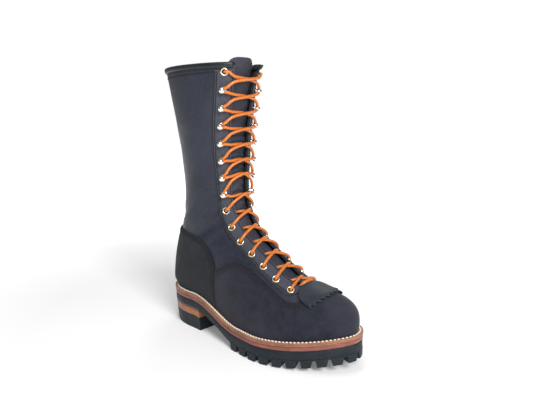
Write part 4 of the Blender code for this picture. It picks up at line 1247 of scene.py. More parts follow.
def crowded(count: int, strength: float = 0.75) -> Array:
    """Places from 0 to 1 that crowd towards both ends.

    Args:
        count: How many.
        strength: How strongly they crowd.

    Returns:
        The places.
    """
    even = np.linspace(0.0, 1.0, count)
    eased = (1 - np.cos(math.pi * even)) / 2
    return even * (1 - strength) + eased * strength


@dataclass
class Patch:
    """The part of one side of the last that a piece of leather covers."""

    side: Side
    rows: Array
    shares: Array
    free: tuple[Edge, ...]

    def border(self, points: Array) -> Array:
        """The points of its free edges.

        Args:
            points: The patch's points, laid on the last.

        Returns:
            The points.
        """
        lines = {
            Edge.START: points[:, 0],
            Edge.END: points[:, -1],
            Edge.LOW: points[0],
            Edge.HIGH: points[-1],
        }
        kept = [lines[edge] for edge in self.free]
        return np.vstack(kept) if kept else np.empty((0, 3))


@dataclass
class Hide:
    """Closed sheets of leather cut from patches of the last."""

    last: Last
    bench: Bench

    def cut(
        self,
        name: str,
        patches: Sequence[Patch],
        thickness: float,
        outer: str,
        inner: str,
        slot: str,
        nodes: Sequence[str],
        lift: float = 0.0,
        edge: float = 0.0011,
        skirt: float = 0.0,
        swell: Optional[Callable[[Array], Array]] = None,
    ) -> bpy.types.Object:
        """Lays the patches on the last and closes them to one solid.

        Args:
            name: The piece's name.
            patches: Its patches.
            thickness: The leather's thickness.
            outer: Finish of its outer face.
            inner: Finish of its inner face and edges.
            slot: The record's material slot.
            nodes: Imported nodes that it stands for.
            lift: Height of its inner face above the last.
            edge: Radius of its rounded free edges.
            skirt: How far the feather edge drops to the welt.
            swell: Extra height of the outer face at given points.

        Returns:
            The object.
        """
        laid = [(patch, *self.last.skin(patch.rows, patch.shares, patch.side)) for patch in patches]
        border = np.vstack([patch.border(points) for patch, points, _ in laid])
        bases, tops, unders, quads = [], [], [], []
        for patch, points, normals in laid:
            rise = rim(points, border, edge) if len(border) else np.ones(points.shape[:-1])
            high = lift + thickness * (0.12 + 0.88 * rise)
            if swell is not None:
                high = high + swell(points) * rise
            top = points + normals * high[..., None]
            under = points + normals * lift
            if skirt:
                feather = self.feather(patch)
                top[feather, 2] -= skirt
                under[feather, 2] -= skirt
            start = sum(len(base) for base in bases)
            bases.append(points.reshape(-1, 3))
            tops.append(top.reshape(-1, 3))
            unders.append(under.reshape(-1, 3))
            rows, across = patch.shares.shape
            index = start + np.arange(rows * across).reshape(rows, across)
            cells = np.stack([index[:-1, :-1], index[:-1, 1:], index[1:, 1:], index[1:, :-1]], axis=-1)
            cells = cells.reshape(-1, 4)
            quads.append(cells if patch.side is LATERAL else cells[:, ::-1])
        vertices, faces, picks = closed_sheet(
            np.vstack(bases), np.vstack(tops), np.vstack(unders), np.vstack(quads)
        )
        return self.bench.piece(name, vertices, faces, (outer, inner), slot, nodes, picks, sharp=70.0)

    def feather(self, patch: Patch) -> Array:
        """Which places of the patch lie on the line where the upper meets the welt."""
        low = patch.rows[:, None] <= HEEL_ROW + 1e-9
        return ((patch.shares > 1 - 1e-9) & low) | ((patch.rows[:, None] < 1e-9) & (patch.shares >= 0))


def closed_sheet(base: Array, top: Array, under: Array, quads: Array) -> tuple[Array, list, list]:
    """Closes a sheet: places that coincide are joined, and walls run round its open border.

    Args:
        base: Place of each vertex on the last.
        top: Outer vertices.
        under: Inner vertices.
        quads: The sheet's faces.

    Returns:
        Vertices, faces, and for each face 0 on the outer skin or 1 elsewhere.
    """
    _, first, index = np.unique(
        np.round(base / 1e-6).astype(np.int64), axis=0, return_index=True, return_inverse=True
    )
    index = index.reshape(-1)
    top, under = top[first], under[first]
    count = len(first)
    outer, edges = [], {}
    for face in index[quads]:
        corners = list(dict.fromkeys(face.tolist()))
        if len(corners) < 3:
            continue
        outer.append(corners)
        for a, b in zip(corners, corners[1:] + corners[:1]):
            if (b, a) in edges:
                del edges[(b, a)]
            else:
                edges[(a, b)] = True
    faces = outer + [[c + count for c in reversed(face)] for face in outer]
    faces += [[b, a, a + count, b + count] for a, b in edges]
    picks = [0] * len(outer) + [1] * (len(faces) - len(outer))
    return np.vstack([top, under]), faces, picks


@dataclass
class Needle:
    """Sews runs of stitches: each is a short bead whose ends dive into the leather."""

    bench: Bench
    sides: int = 5
    beads: tuple[tuple[float, float, float], ...] = (
        (-0.50, -0.80, 0.45),
        (-0.36, 0.10, 0.90),
        (0.00, 0.45, 1.00),
        (0.36, 0.10, 0.90),
        (0.50, -0.80, 0.45),
    )

    def run(
        self, line: Array, normals: Array, pitch: float, length: float, radius: float,
        channel: float = 0.0, count: Optional[int] = None,
    ) -> tuple[Array, list, list]:
        """Stitches along a line.

        Args:
            line: Points of the seam on the leather's face.
            normals: The face's normals there.
            pitch: Distance from stitch to stitch.
            length: Length of a stitch.
            radius: Radius of the thread.
            channel: Width of the near-black strip under the stitches, painted shade standing in for their
                pressed groove, or 0 for none.
            count: Number of stitches, worked out from the pitch if left out.

        Returns:
            Vertices, faces, and for each face 0 on a stitch or 1 on the strip of painted shade under it.
        """
        distance = run_along(line)
        count = count or max(int(distance[-1] / pitch), 1)
        middles = (np.arange(count) + 0.5) * distance[-1] / count
        at = read_along(middles, distance, line)
        before = read_along(middles - pitch / 2, distance, line)
        after = read_along(middles + pitch / 2, distance, line)
        up = unit(read_along(middles, distance, normals))
        way = unit(after - before)
        side = unit(np.cross(up, way))
        rings = []
        for along, high, thick in self.beads:
            for k in range(self.sides):
                turn = 2 * math.pi * k / self.sides
                across, rise = math.cos(turn) * thick * radius, math.sin(turn) * thick * radius
                rings.append(at + way * along * length + side * across + up * (rise + high * radius))
        vertices = np.stack(rings, axis=1).reshape(-1, 3)
        size = len(self.beads) * self.sides
        faces = []
        for i in range(len(self.beads) - 1):
            for k in range(self.sides):
                follow = (k + 1) % self.sides
                low = i * self.sides
                faces.append((low + k, low + follow, low + self.sides + follow, low + self.sides + k))
        caps = [tuple(range(self.sides))[::-1], tuple(size - self.sides + k for k in range(self.sides))]
        every = [tuple(c + j * size for c in face) for j in range(count) for face in faces + caps]
        picks = [0] * len(every)
        # The strip is a flat near-black sheet just above the leather: painted shade standing in for the
        # pressed groove under the stitches.
        if channel:
            run_way = unit(np.gradient(line, axis=0))
            beside = unit(np.cross(normals, run_way)) * channel / 2
            strip = np.stack([line - beside, line + beside], axis=1) + normals[:, None] * 0.00012
            start, steps = len(vertices), len(line)
            vertices = np.vstack([vertices, strip.reshape(-1, 3)])
            strips = [(2 * i, 2 * i + 2, 2 * i + 3, 2 * i + 1) for i in range(steps - 1)]
            every += [tuple(start + c for c in face) for face in strips]
            picks += [1] * len(strips)
        return vertices, every, picks

    def sew(
        self, name: str, runs: Sequence[tuple[Array, list, list]], thread: str, slot: str
    ) -> bpy.types.Object:
        """Joins runs of stitches to one piece.

        Args:
            name: The name.
            runs: Vertices, faces and picks of each run.
            thread: Finish of the thread.
            slot: The record's material slot.

        Returns:
            The object.
        """
        vertices, faces, picks, start = [], [], [], 0
        for points, corners, chosen in runs:
            vertices.append(points)
            faces += [tuple(c + start for c in face) for face in corners]
            picks += chosen
            start += len(points)
        # The second finish is the near-black painted shade of the strip under the stitches.
        finishes = (thread, "painted_recess_shade")
        return self.bench.piece(name, np.vstack(vertices), faces, finishes, slot, picks=picks, sharp=80.0)


@dataclass
class Upper:
    """Shaft, vamp, counter, facings, backstay, binding and their seams."""

    last: Last
    bench: Bench
    hide: Hide
    needle: Needle
    wall: float = 0.0024
    overlay: float = 0.0014
    overlay_gap: float = 0.0004
    counter_leather: float = 0.0020
    facing_leather: float = 0.0014
    facing_top: float = 29.72
    backstay_width: float = 0.020
    backstay_rise: float = 0.12
    binding: float = 0.0021
    binding_drop: float = 0.0050
    stitch_pitch: float = 0.0031
    stitch_length: float = 0.0021
    thread: float = 0.00055
    # channel is the width of the near-black strip of painted shade under the upper's stitches.
    channel: float = 0.0013
    across: int = 46
    vamp_opening: float = 5.0
    tick_insets: tuple[float, ...] = (0.0026, 0.0043, 0.0060, 0.0077)
    tick_pitch: float = 0.0027
    tick_length: float = 0.0013
    tick_thread: float = 0.00062
    ticks: int = 45
    vamp_inset: float = 0.0012
    counter_insets: tuple[float, float] = (0.0020, 0.0044)
    facing_insets: tuple[float, float] = (0.0017, 0.0041)
    throat_inset: float = 0.0024
    backstay_insets: tuple[float, float] = (0.0016, 0.0038)
    collar_row: float = 29.64

    def build(self) -> None:
        """Builds every piece of the upper."""
        self.shaft()
        self.vamp()
        self.counter()
        self.facings()
        self.backstay()
        self.collar_binding()

    def between(self, rows: Array, start: Array, end: Array, count: int) -> Array:
        """Shares from start to end at each row, crowded towards both."""
        places = crowded(count)
        return start[:, None] + (end - start)[:, None] * places[None]

    def shaft(self) -> None:
        """The shell of quarters and shaft, open at the collar, throat and sole."""
        rows = np.unique(np.concatenate([np.linspace(0, TOP_ROW, 240), [5.4, 5.6, 5.8, 6.0, 6.2]]))
        patches = []
        for side in Side:
            start = self.last.throat(rows) / self.last.lengths(rows, side)
            shares = self.between(rows, start, np.ones(len(rows)), self.across)
            patches.append(Patch(side, rows, shares, (Edge.HIGH,)))
        self.hide.cut(
            "shaft_shell", patches, self.wall, "shaft_leather", "lining_flesh", "smooth_leather",
            ["upper"], lift=-self.wall, skirt=0.004,
        )

    def vamp(self) -> None:
        """The rough-out vamp up to its arched seam, with its rows of stitches."""
        parts = [np.linspace(0, 5, 60), np.linspace(5, 6, 30), np.linspace(6, 12, 90)]
        rows = np.unique(np.concatenate(parts))
        patches = []
        for side in Side:
            start = self.last.vamp_edge(rows)
            end = np.where(rows > 11, self.last.counter_edge(rows, side) - self.last.seam_gap, 1.0)
            end = np.maximum(end, start + 0.001)
            shares = self.between(rows, start, end, self.across)
            patches.append(Patch(side, rows, shares, (Edge.START, Edge.HIGH)))
        self.hide.cut(
            "vamp_leather", self.fronts(patches, rows < self.vamp_opening), self.overlay, "vamp_nap",
            "vamp_nap", "roughout_leather", ["vamp"], lift=self.overlay_gap, skirt=0.0012,
        )
        runs = []
        path = np.linspace(5.7, 11.75, 260)
        height = self.overlay_gap + self.overlay
        for side in Side:
            edge = self.last.vamp_edge(path)
            for inset in self.tick_insets:
                line, normals = self.beside(path, edge, side, -side.value * inset, height)
                ticks = (self.tick_pitch, self.tick_length, self.tick_thread)
                runs.append(self.needle.run(line, normals, *ticks, count=self.ticks))
            runs.append(self.seam(path, edge, side, -side.value * self.vamp_inset, height))
        self.needle.sew("vamp_stitches", runs, "dark_thread", "roughout_leather")

    def fronts(self, patches: Sequence[Patch], hidden: Array) -> list[Patch]:
        """Splits patches where their front edge leaves the centre line, so that only the rest is free.

        Args:
            patches: The patches.
            hidden: Which of their rows are joined at the front.

        Returns:
            A lower and an upper part of each patch.
        """
        split = []
        last_joined = int(np.flatnonzero(hidden)[-1]) + 1
        for patch in patches:
            low = Patch(patch.side, patch.rows[: last_joined + 1], patch.shares[: last_joined + 1], ())
            high = Patch(patch.side, patch.rows[last_joined:], patch.shares[last_joined:], patch.free)
            split += [low, high]
        return split

    def seam(
        self, rows: Array, shares: Array, side: Side, inset: float, height: float
    ) -> tuple[Array, list, list]:
        """A run of stitches beside a line on the last, at this height."""
        return self.stitched(*self.beside(rows, shares, side, inset, height))

    def beside(
        self, rows: Array, shares: Array, side: Side, inset: float, height: float
    ) -> tuple[Array, Array]:
        """Points and normals beside a line on the last, at this height.

        Args:
            rows: Rows of the last.
            shares: Places from the front (0) to the feather line or the back (1).
            side: The side of the boot.
            inset: Distance inside the line.
            height: Height above the last.

        Returns:
            Points and normals.
        """
        rows, shares = self.last.beside(rows, shares, side, inset)
        shares = np.clip(shares, 0.0, 1.0)
        points, normals = self.last.skin(rows, shares[:, None], side)
        return points[:, 0] + normals[:, 0] * height, normals[:, 0]

    def stitched(self, line: Array, normals: Array) -> tuple[Array, list, list]:
        """A run of the upper's stitches along a line on its face."""
        sizes = (self.stitch_pitch, self.stitch_length, self.thread, self.channel)
        return self.needle.run(line, normals, *sizes)

    def counter(self) -> None:
        """The heel pocket with its double-stitched edge."""
        low, high = self.last.counter_rows
        rows = np.unique(np.concatenate([np.linspace(low, 12.5, 36), np.linspace(12.5, high, 110)]))
        patches = []
        for side in Side:
            start = self.last.counter_edge(rows, side)
            shares = self.between(rows, start, np.ones(len(rows)), self.across)
            patches.append(Patch(side, rows, shares, (Edge.START,)))
        self.hide.cut(
            "counter_leather", patches, self.counter_leather, "counter_nap", "counter_nap",
            "roughout_leather", ["counter"], lift=self.overlay_gap, skirt=0.0012,
        )
        runs = []
        path = np.linspace(low + 0.12, high - 0.1, 260)
        height = self.overlay_gap + self.counter_leather
        for side in Side:
            for inset in self.counter_insets:
                shares = self.last.counter_edge(path, side)
                runs.append(self.seam(path, shares, side, -side.value * inset, height))
        self.needle.sew("counter_stitches", runs, "dark_thread", "roughout_leather")

    def facing_edge(self, rows: Array, side: Side, inset: float = 0.0) -> Array:
        """Share of the facing's outer edge, less an inset.

        Args:
            rows: Rows of the last.
            side: The side of the boot.
            inset: Distance inside the line.

        Returns:
            The share at each row.
        """
        width = curve_through(self.last.facing_rows, self.last.facing_widths, rows)
        across = self.last.throat(rows) + width * self.last.rounding(rows) - inset
        return across / self.last.lengths(rows, side)

    def facings(self) -> None:
        """The strips under the eyelets and hooks, with double rows of stitches."""
        low = self.last.facing_end[0]
        parts = [low + 0.9 * crowded(26), np.linspace(low + 0.9, self.facing_top, 170)]
        rows = np.unique(np.concatenate(parts))
        height = self.overlay_gap + self.facing_leather
        for side in Side:
            start = self.last.throat(rows) / self.last.lengths(rows, side)
            shares = self.between(rows, start, self.facing_edge(rows, side), 22)
            patch = Patch(side, rows, shares, (Edge.START, Edge.END, Edge.LOW, Edge.HIGH))
            name = f"facing_{side.label}"
            self.hide.cut(
                f"{name}_leather", [patch], self.facing_leather, "facing_leather", "facing_leather",
                "smooth_leather", [name], lift=self.overlay_gap,
            )
            runs = []
            path = np.linspace(low + 0.1, self.facing_top - 0.05, 400)
            for inset in self.facing_insets:
                runs.append(self.seam(path, self.facing_edge(path, side), side, side.value * inset, height))
            inner = self.last.throat(path) / self.last.lengths(path, side)
            runs.append(self.seam(path, inner, side, -side.value * self.throat_inset, height))
            self.needle.sew(f"{name}_stitches", runs, "dark_thread", "smooth_leather")
        self.collar_stitches()

    def collar_stitches(self) -> None:
        """The row that holds the collar's facing, below the binding."""
        runs = []
        for side in Side:
            start = float(self.facing_edge(np.array([self.collar_row]), side)[0])
            shares = np.linspace(start, 1.0, 160)
            rows = np.full(len(shares), self.collar_row)
            points, normals = self.last.skin(rows, shares[:, None], side)
            runs.append(self.stitched(points[:, 0], normals[:, 0]))
        self.needle.sew("collar_stitches", runs, "dark_thread", "smooth_leather")

    def backstay(self) -> None:
        """The strip over the back seam."""
        rows = np.linspace(self.last.counter_rows[1] + self.backstay_rise, self.facing_top, 90)
        height = self.overlay_gap + self.facing_leather
        patches, runs = [], []
        for side in Side:
            start = 1.0 - self.backstay_width / 2 / self.last.lengths(rows, side)
            shares = start[:, None] + (1 - start)[:, None] * crowded(12)[None]
            patches.append(Patch(side, rows, shares, (Edge.START, Edge.LOW, Edge.HIGH)))
            for inset in self.backstay_insets:
                runs.append(self.seam(rows, start, side, -side.value * inset, height))
        self.hide.cut(
            "backstay_leather", patches, self.facing_leather, "shaft_leather", "shaft_leather",
            "smooth_leather", ["backstay"], lift=self.overlay_gap,
        )
        self.needle.sew("backstay_stitches", runs, "dark_thread", "smooth_leather")

    def collar_binding(self) -> None:
        """The rolled strip over the collar's edge, from one facing round to the other."""
        half = (self.wall + 2 * self.binding) / 2
        middle = -self.wall / 2
        top = self.binding * 0.9
        profile = [(middle + half * 0.86, -self.binding_drop), (middle + half, -self.binding_drop * 0.8)]
        profile += [(middle + half * 1.04, -self.binding_drop * 0.35)]
        for turn in np.linspace(0.0, math.pi, 11):
            profile.append((middle + half * math.cos(turn), top * math.sin(turn)))
        profile += [(middle - half, -self.binding_drop * 0.8), (middle - half * 0.86, -self.binding_drop)]
        lines = []
        for side in Side:
            rows = np.array([TOP_ROW, TOP_ROW - 0.5])
            first = float(self.last.throat(rows[:1])[0]) / self.last.length(TOP_ROW, side)
            shares = np.tile(first + (1 - first) * crowded(70, 0.4), (2, 1))
            points, normals = self.last.skin(rows, shares, side)
            rises = unit(points[0] - points[1])
            lines.append((points[0], normals[0], rises))
        points, normals, rises = (np.vstack([lines[0][k], lines[1][k][-2::-1]]) for k in range(3))
        count, size = len(points), len(profile)
        taper = np.ones(count)
        ends = (0.35, 0.75, 0.93)
        taper[: len(ends)], taper[-len(ends) :] = ends, ends[::-1]
        vertices = []
        for out, up in profile:
            grown = middle + (out - middle) * taper
            vertices.append(points + normals * grown[:, None] + rises * (up * taper)[:, None])
        vertices = np.stack(vertices, axis=1).reshape(-1, 3)
        faces = [tuple(range(size)), tuple(range((count - 1) * size, count * size))[::-1]]
        for i in range(count - 1):
            for a in range(size):
                b = (a + 1) % size
                faces.append((i * size + b, i * size + a, (i + 1) * size + a, (i + 1) * size + b))
        self.bench.piece(
            "collar_roll", vertices, faces, ("binding_leather",), "binding_leather",
            ["collar_binding"], sharp=60.0,
        )


@dataclass
class Leaves:
    """The tongue behind the throat and the sawtooth kiltie over the vamp."""

    last: Last
    bench: Bench
    tongue_thickness: float = 0.0024
    tongue_depth: float = 0.0054
    tongue_overlap: float = 0.014
    tongue_rows: tuple[float, float] = (6.6, 30.28)
    puff: float = 0.0008
    kiltie_thickness: float = 0.0020
    kiltie_rings: tuple[tuple[float, float, float], ...] = (
        (7.4, 0.0070, -0.0018),
        (7.05, 0.0072, -0.0010),
        (6.75, 0.0076, 0.0002),
        (6.56, 0.0110, 0.0022),
        (6.36, 0.0190, 0.0032),
        (6.05, 0.0268, 0.0034),
        (5.6, 0.0305, 0.0028),
        (5.1, 0.0325, 0.0022),
    )
    kiltie_bulge: float = 0.0055
    teeth: int = 10
    tooth: float = 0.0042

    def build(self) -> None:
        """Builds both leaves."""
        self.tongue()
        self.kiltie()

    def tongue(self) -> None:
        """The tongue, a little padded between the laces, with a round top."""
        low, high = self.tongue_rows
        rows = np.unique(np.concatenate([np.linspace(low, 29.0, 190), np.linspace(29.0, high, 40)]))
        wide = self.last.throat(np.minimum(rows, TOP_ROW)) + self.tongue_overlap
        halves = []
        for slimming, height, corner in ((0.10, 0.50, 0.45), (0.30, 0.34, 0.60)):
            closeness = np.clip((high - rows) / height, 0.0, 1.0)
            rounded = corner + (1 - corner) * np.sqrt(1 - (1 - closeness) ** 2.2)
            halves.append(wide * (1 - slimming * smoothstep((rows - 28.2) / 1.6)) * rounded)
        pad = self.puff * np.sin(rows * 2 * math.pi / 0.9) * (rows > 13)
        lifts = np.full(len(rows), -self.tongue_depth) + pad
        self.leaf(
            "tongue_leather_leaf", rows, np.array(halves), lifts, self.tongue_thickness,
            np.linspace(-1, 1, 41), ("tongue_leather", "lining_flesh"), "tongue_leather", "tongue",
        )

    def kiltie(self) -> None:
        """The false tongue with its pinked end."""
        rings = np.array(self.kiltie_rings)
        steps = np.linspace(0, len(rings) - 1, 56)
        rows, halves, lifts = curve_through(np.arange(len(rings)), rings, steps).T
        lifts = lifts + 0.0007 * smoothstep(steps - 6)
        across = np.linspace(-1, 1, self.teeth * 8 + 1)
        phase = np.abs((across * self.teeth / 2) % 1.0 * 2 - 1)
        bulge = self.kiltie_bulge * np.outer(smoothstep((steps - 3.5) / 3.5), 1 - across**2)
        reach = np.outer(smoothstep((steps - 6.2) / 0.8), phase) * self.tooth + bulge
        self.leaf(
            "kiltie_leaf", rows, np.array([halves, halves]), lifts, self.kiltie_thickness, across,
            ("kiltie_leather", "kiltie_leather"), "kiltie_leather", "kiltie", reach,
        )

    def leaf(
        self, name: str, rows: Array, halves: Array, lifts: Array, thickness: float, across: Array,
        finishes: tuple[str, str], slot: str, node: str, reach: Optional[Array] = None,
    ) -> bpy.types.Object:
        """A leaf over the front of the last.

        Args:
            name: The piece's name.
            rows: Rows of its rings.
            halves: Lateral and medial half widths of each ring.
            lifts: Height of the middle of its outer face above the last, at each ring.
            thickness: Its thickness.
            across: Places from one edge (-1) to the other (1).
            finishes: Outer and inner finish.
            slot: The record's material slot.
            node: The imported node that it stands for.
            reach: How far each place is drawn on towards the toe.

        Returns:
            The object.
        """
        points = np.empty((len(rows), len(across), 3))
        normals = np.empty_like(points)
        for side, widths in zip(Side, halves):
            mine = across < 0 if side is LATERAL else across >= 0
            lengths = self.last.lengths(rows, side)
            shares = np.abs(across[mine])[None] * (widths / lengths)[:, None]
            points[:, mine] = self.last.points(rows, shares, side)
            normals[:, mine] = self.last.normals(rows, shares, side)
        if reach is not None:
            forward = unit(np.gradient(points, axis=0))
            points = points + forward * reach[..., None]
        border = np.vstack([points[:, 0], points[:, -1], points[0], points[-1]])
        rise = rim(points, border, thickness * 0.55)
        outer = lifts[:, None] + thickness * (rise - 1) * 0.5
        inner = lifts[:, None] - thickness - thickness * (rise - 1) * 0.5
        if lifts[-1] > 0:
            outer, inner = outer + thickness, inner + thickness
        base = points.reshape(-1, 3)
        top = (points + normals * outer[..., None]).reshape(-1, 3)
        under = (points + normals * inner[..., None]).reshape(-1, 3)
        index = np.arange(len(base)).reshape(len(rows), len(across))
        corners = [index[:-1, :-1], index[1:, :-1], index[1:, 1:], index[:-1, 1:]]
        quads = np.stack(corners, axis=-1).reshape(-1, 4)
        if rows[0] > rows[-1]:
            quads = quads[:, ::-1]
        vertices, faces, picks = closed_sheet(base, top, under, quads)
        return self.bench.piece(name, vertices, faces, finishes, slot, [node], picks, sharp=70.0)


@dataclass
class Sole:
    """Welt, midsole, lugged rubber sole, heel stack and the welt's lock stitches."""

    form: SoleForm
    bench: Bench
    needle: Needle
    welt_clearance: float = 0.0008
    rounding: float = 0.0007
    groove: float = 0.0006
    welt_pitch: float = 0.0047
    welt_stitch: float = 0.0034
    welt_thread: float = 0.00100
    stitch_inset: float = 0.0036
    lug_pitch: float = 0.0182
    lug_inset: float = 0.0004
    lug_reach: float = 0.022
    lug_at_floor: float = 0.60
    lug_at_root: float = 0.82
    lug_inner: float = 0.8
    lug_sink: float = 0.002
    tread_start: float = 0.50
    centre_pitch: float = 0.022
    centre_length: float = 0.013
    centre_clear: float = 0.030
    centre_point: float = 0.0023
    bevel: float = 0.0006

    def build(self) -> None:
        """Builds every piece of the sole."""
        self.welt()
        self.welt_stitches()
        self.midsole()
        self.outsole()
        self.heel()
        self.insole()

    def loops(self, rings: Sequence[tuple[float, Callable[[Array], Array]]]) -> list[Array]:
        """Closed rings of points round the sole, each from an inset and a height.

        Args:
            rings: Inset and height of each ring.

        Returns:
            The rings.
        """
        found = []
        for inset, height in rings:
            plan = self.form.loop(inset)
            found.append(np.column_stack([plan, height(plan[:, 0])]))
        return found

    def tube(self, loops: Sequence[Array], closed: bool) -> tuple[Array, list, list]:
        """Joins rings of points by strips of faces.

        Args:
            loops: Rings of equally many points.
            closed: Whether the last ring joins the first; if not, both are capped across.

        Returns:
            Vertices, faces, and the strip's number for each face.
        """
        count = len(loops[0])
        faces, picks = [], []
        pairs = len(loops) if closed else len(loops) - 1
        for ring in range(pairs):
            low, high = ring * count, (ring + 1) % len(loops) * count
            for i in range(count):
                follow = (i + 1) % count
                faces.append((low + i, low + follow, high + follow, high + i))
                picks.append(ring)
        if not closed:
            half = count // 2
            for low, flip, label in ((0, True, -1), ((len(loops) - 1) * count, False, pairs)):
                for i in range(half):
                    corners = [low + i, low + i + 1, low + (count - i - 1) % count, low + (count - i) % count]
                    corners = list(dict.fromkeys(corners))
                    faces.append(tuple(corners[::-1] if flip else corners))
                    picks.append(label)
        return np.vstack(loops), faces, picks

    def slab(
        self, name: str, insets: tuple[float, float], under: Callable[[Array], Array],
        over: Callable[[Array], Array], finish: str, slot: str, nodes: Sequence[str],
    ) -> None:
        """A full-length layer with softened edges.

        Args:
            name: The name.
            insets: How far the underside and the top lie inside the outline.
            under: Height of the underside at x.
            over: Height of the top at x.
            finish: Name of its finish.
            slot: The record's material slot.
            nodes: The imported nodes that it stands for.
        """
        soft = self.rounding
        low, high = insets
        rings = [
            (low + soft, under),
            (low + 0.3 * soft, lambda x: under(x) + 0.3 * soft),
            (low, lambda x: under(x) + soft),
            (high, lambda x: over(x) - soft),
            (high + 0.3 * soft, lambda x: over(x) - 0.3 * soft),
            (high + soft, over),
        ]
        vertices, faces, _ = self.tube(self.loops(rings), closed=False)
        self.bench.piece(name, vertices, faces, (finish,), slot, nodes, sharp=60.0)

    def welt(self) -> None:
        """The welt, with a groove that the lock stitches lie in."""
        form, soft = self.form, self.rounding
        low = form.gap
        high = form.gap + form.welt
        seam = low + 0.5 * form.welt
        inner = form.welt_margin - self.welt_clearance
        line = self.stitch_inset
        profile = [
            (inner, low), (soft, low), (0.3 * soft, low + 0.3 * soft), (0.0, low + soft),
            (0.0, seam - 0.0003), (0.0005, seam), (0.0, seam + 0.0003),
            (0.0, high - soft), (0.3 * soft, high - 0.3 * soft), (soft, high),
            (line - 0.0011, high), (line - 0.0006, high - self.groove * 0.8), (line, high - self.groove),
            (line + 0.0006, high - self.groove * 0.8), (line + 0.0011, high), (inner, high),
        ]
        rings = [(inset, lambda x, rise=rise: form.midsole_top(x) + rise) for inset, rise in profile]
        vertices, faces, picks = self.tube(self.loops(rings), closed=True)
        top_strips = range(9, 15)
        chosen = [0 if pick in top_strips else 1 for pick in picks]
        self.bench.piece(
            "welt_ring", vertices, faces, ("welt_face", "welt_side"), "welt_leather", ["welt"],
            chosen, sharp=60.0,
        )

    def welt_stitches(self) -> None:
        """The pale lock stitches all round the welt."""
        plan = self.form.loop(self.stitch_inset)
        plan = np.vstack([plan, plan[:1]])
        height = self.form.midsole_top(plan[:, 0]) + self.form.gap + self.form.welt - 0.15 * self.groove
        line = np.column_stack([plan, height])
        up = np.tile([0.0, 0.0, 1.0], (len(line), 1))
        run = self.needle.run(line, up, self.welt_pitch, self.welt_stitch, self.welt_thread)
        self.needle.sew("welt_stitches", [run], "pale_thread", "welt_leather")

    def midsole(self) -> None:
        """The leather midsole."""
        form = self.form
        self.slab(
            "midsole_layer", (0.0004, 0.0004), form.midsole_underside, form.midsole_top,
            "midsole_side", "midsole_leather", ["midsole"],
        )

    def outsole(self) -> None:
        """The full-length rubber with its lugs."""
        form = self.form
        self.slab(
            "outsole_slab", (0.0008, 0.0008), form.outsole_underside,
            lambda x: form.midsole_underside(x) - form.gap, "black_rubber", "rubber", ["outsole"],
        )
        vertices, faces, start = [], [], 0
        for floor, root in self.edge_lugs() + self.centre_lugs():
            count = len(floor)
            vertices += [floor, root]
            rings = [(start + i, start + (i + 1) % count) for i in range(count)]
            faces += [(a, b, b + count, a + count) for a, b in rings]
            cap = range(start, start + count)
            faces += [tuple(cap)[::-1], tuple(i + count for i in cap)]
            start += 2 * count
        lugs = self.bench.piece(
            "outsole_lugs", np.vstack(vertices), faces, ("black_rubber",), "rubber", sharp=35.0
        )
        self.soften(lugs, self.bevel)

    def soften(self, made: bpy.types.Object, width: float, angle: float = 35.0) -> None:
        """Rounds a hard piece's edges.

        Args:
            made: The object.
            width: Width of the soft edge.
            angle: Angle in degrees past which an edge is soft.
        """
        modifier = made.modifiers.new("edges", "BEVEL")
        modifier.width = width
        modifier.segments = 2
        modifier.limit_method = "ANGLE"
        modifier.angle_limit = math.radians(angle)

    def edge_lugs(self) -> list[tuple[Array, Array]]:
        """Tapered lugs side by side round the forefoot: floor ring and root ring of each.

        Returns:
            The rings of each lug.
        """
        form = self.form
        loop = form.loop(self.lug_inset)
        path = loop[loop[:, 0] > self.tread_start * form.length]
        distance = run_along(path)
        tangent = np.gradient(path, axis=0)
        inward = unit(np.stack([-tangent[:, 1], tangent[:, 0]], axis=1))
        count = int(distance[-1] / self.lug_pitch)
        pitch = distance[-1] / count
        lugs = []
        for k in range(count):
            rings = []
            for share in (self.lug_at_floor, self.lug_at_root):
                places = (k + 0.5) * pitch + np.linspace(-0.5, 0.5, 7) * share * pitch
                outer = read_along(places, distance, path)
                way = read_along(places, distance, inward)
                inner = outer + way * self.lug_reach
                narrow = inner[3] + (inner[[6, 0]] - inner[3]) * self.lug_inner
                rings.append(np.vstack([outer, narrow]))
            floor = np.column_stack([rings[0], form.spring(rings[0][:, 0])])
            root = np.column_stack([rings[1], form.outsole_underside(rings[1][:, 0]) + self.lug_sink])
            lugs.append((floor, root))
        return lugs

    def centre_lugs(self) -> list[tuple[Array, Array]]:
        """Six-sided blocks down the middle of the forefoot.

        Returns:
            Floor ring and root ring of each block.
        """
        form = self.form
        first = self.tread_start * form.length + self.centre_pitch
        last = form.length - self.lug_reach - self.centre_pitch
        count = int((last - first) / self.centre_pitch)
        half, point = self.centre_length / 2, self.centre_point
        lugs = []
        for k in range(count + 1):
            x = first + k * (last - first) / count
            sides = form.sides(np.array([x]), self.lug_inset)
            lateral = float(sides[0][0]) + self.centre_clear
            medial = float(sides[1][0]) - self.centre_clear
            if medial - lateral < self.centre_length:
                continue
            ring = np.array(
                [
                    (x - half, lateral + point), (x, lateral), (x + half, lateral + point),
                    (x + half, medial - point), (x, medial), (x - half, medial - point),
                ]
            )
            floor = np.column_stack([ring, form.spring(ring[:, 0])])
            root = np.column_stack([ring, form.outsole_underside(ring[:, 0]) + self.lug_sink])
            lugs.append((floor, root))
        return lugs

    def heel(self) -> None:
        """Rubber heel, thick leather lift and thin slip under the rubber sole."""
        form, gap = self.form, self.form.gap

        def below(drop: float) -> Callable[[Array], Array]:
            """A level this far under the rubber sole."""
            return lambda x: form.outsole_underside(x) - drop

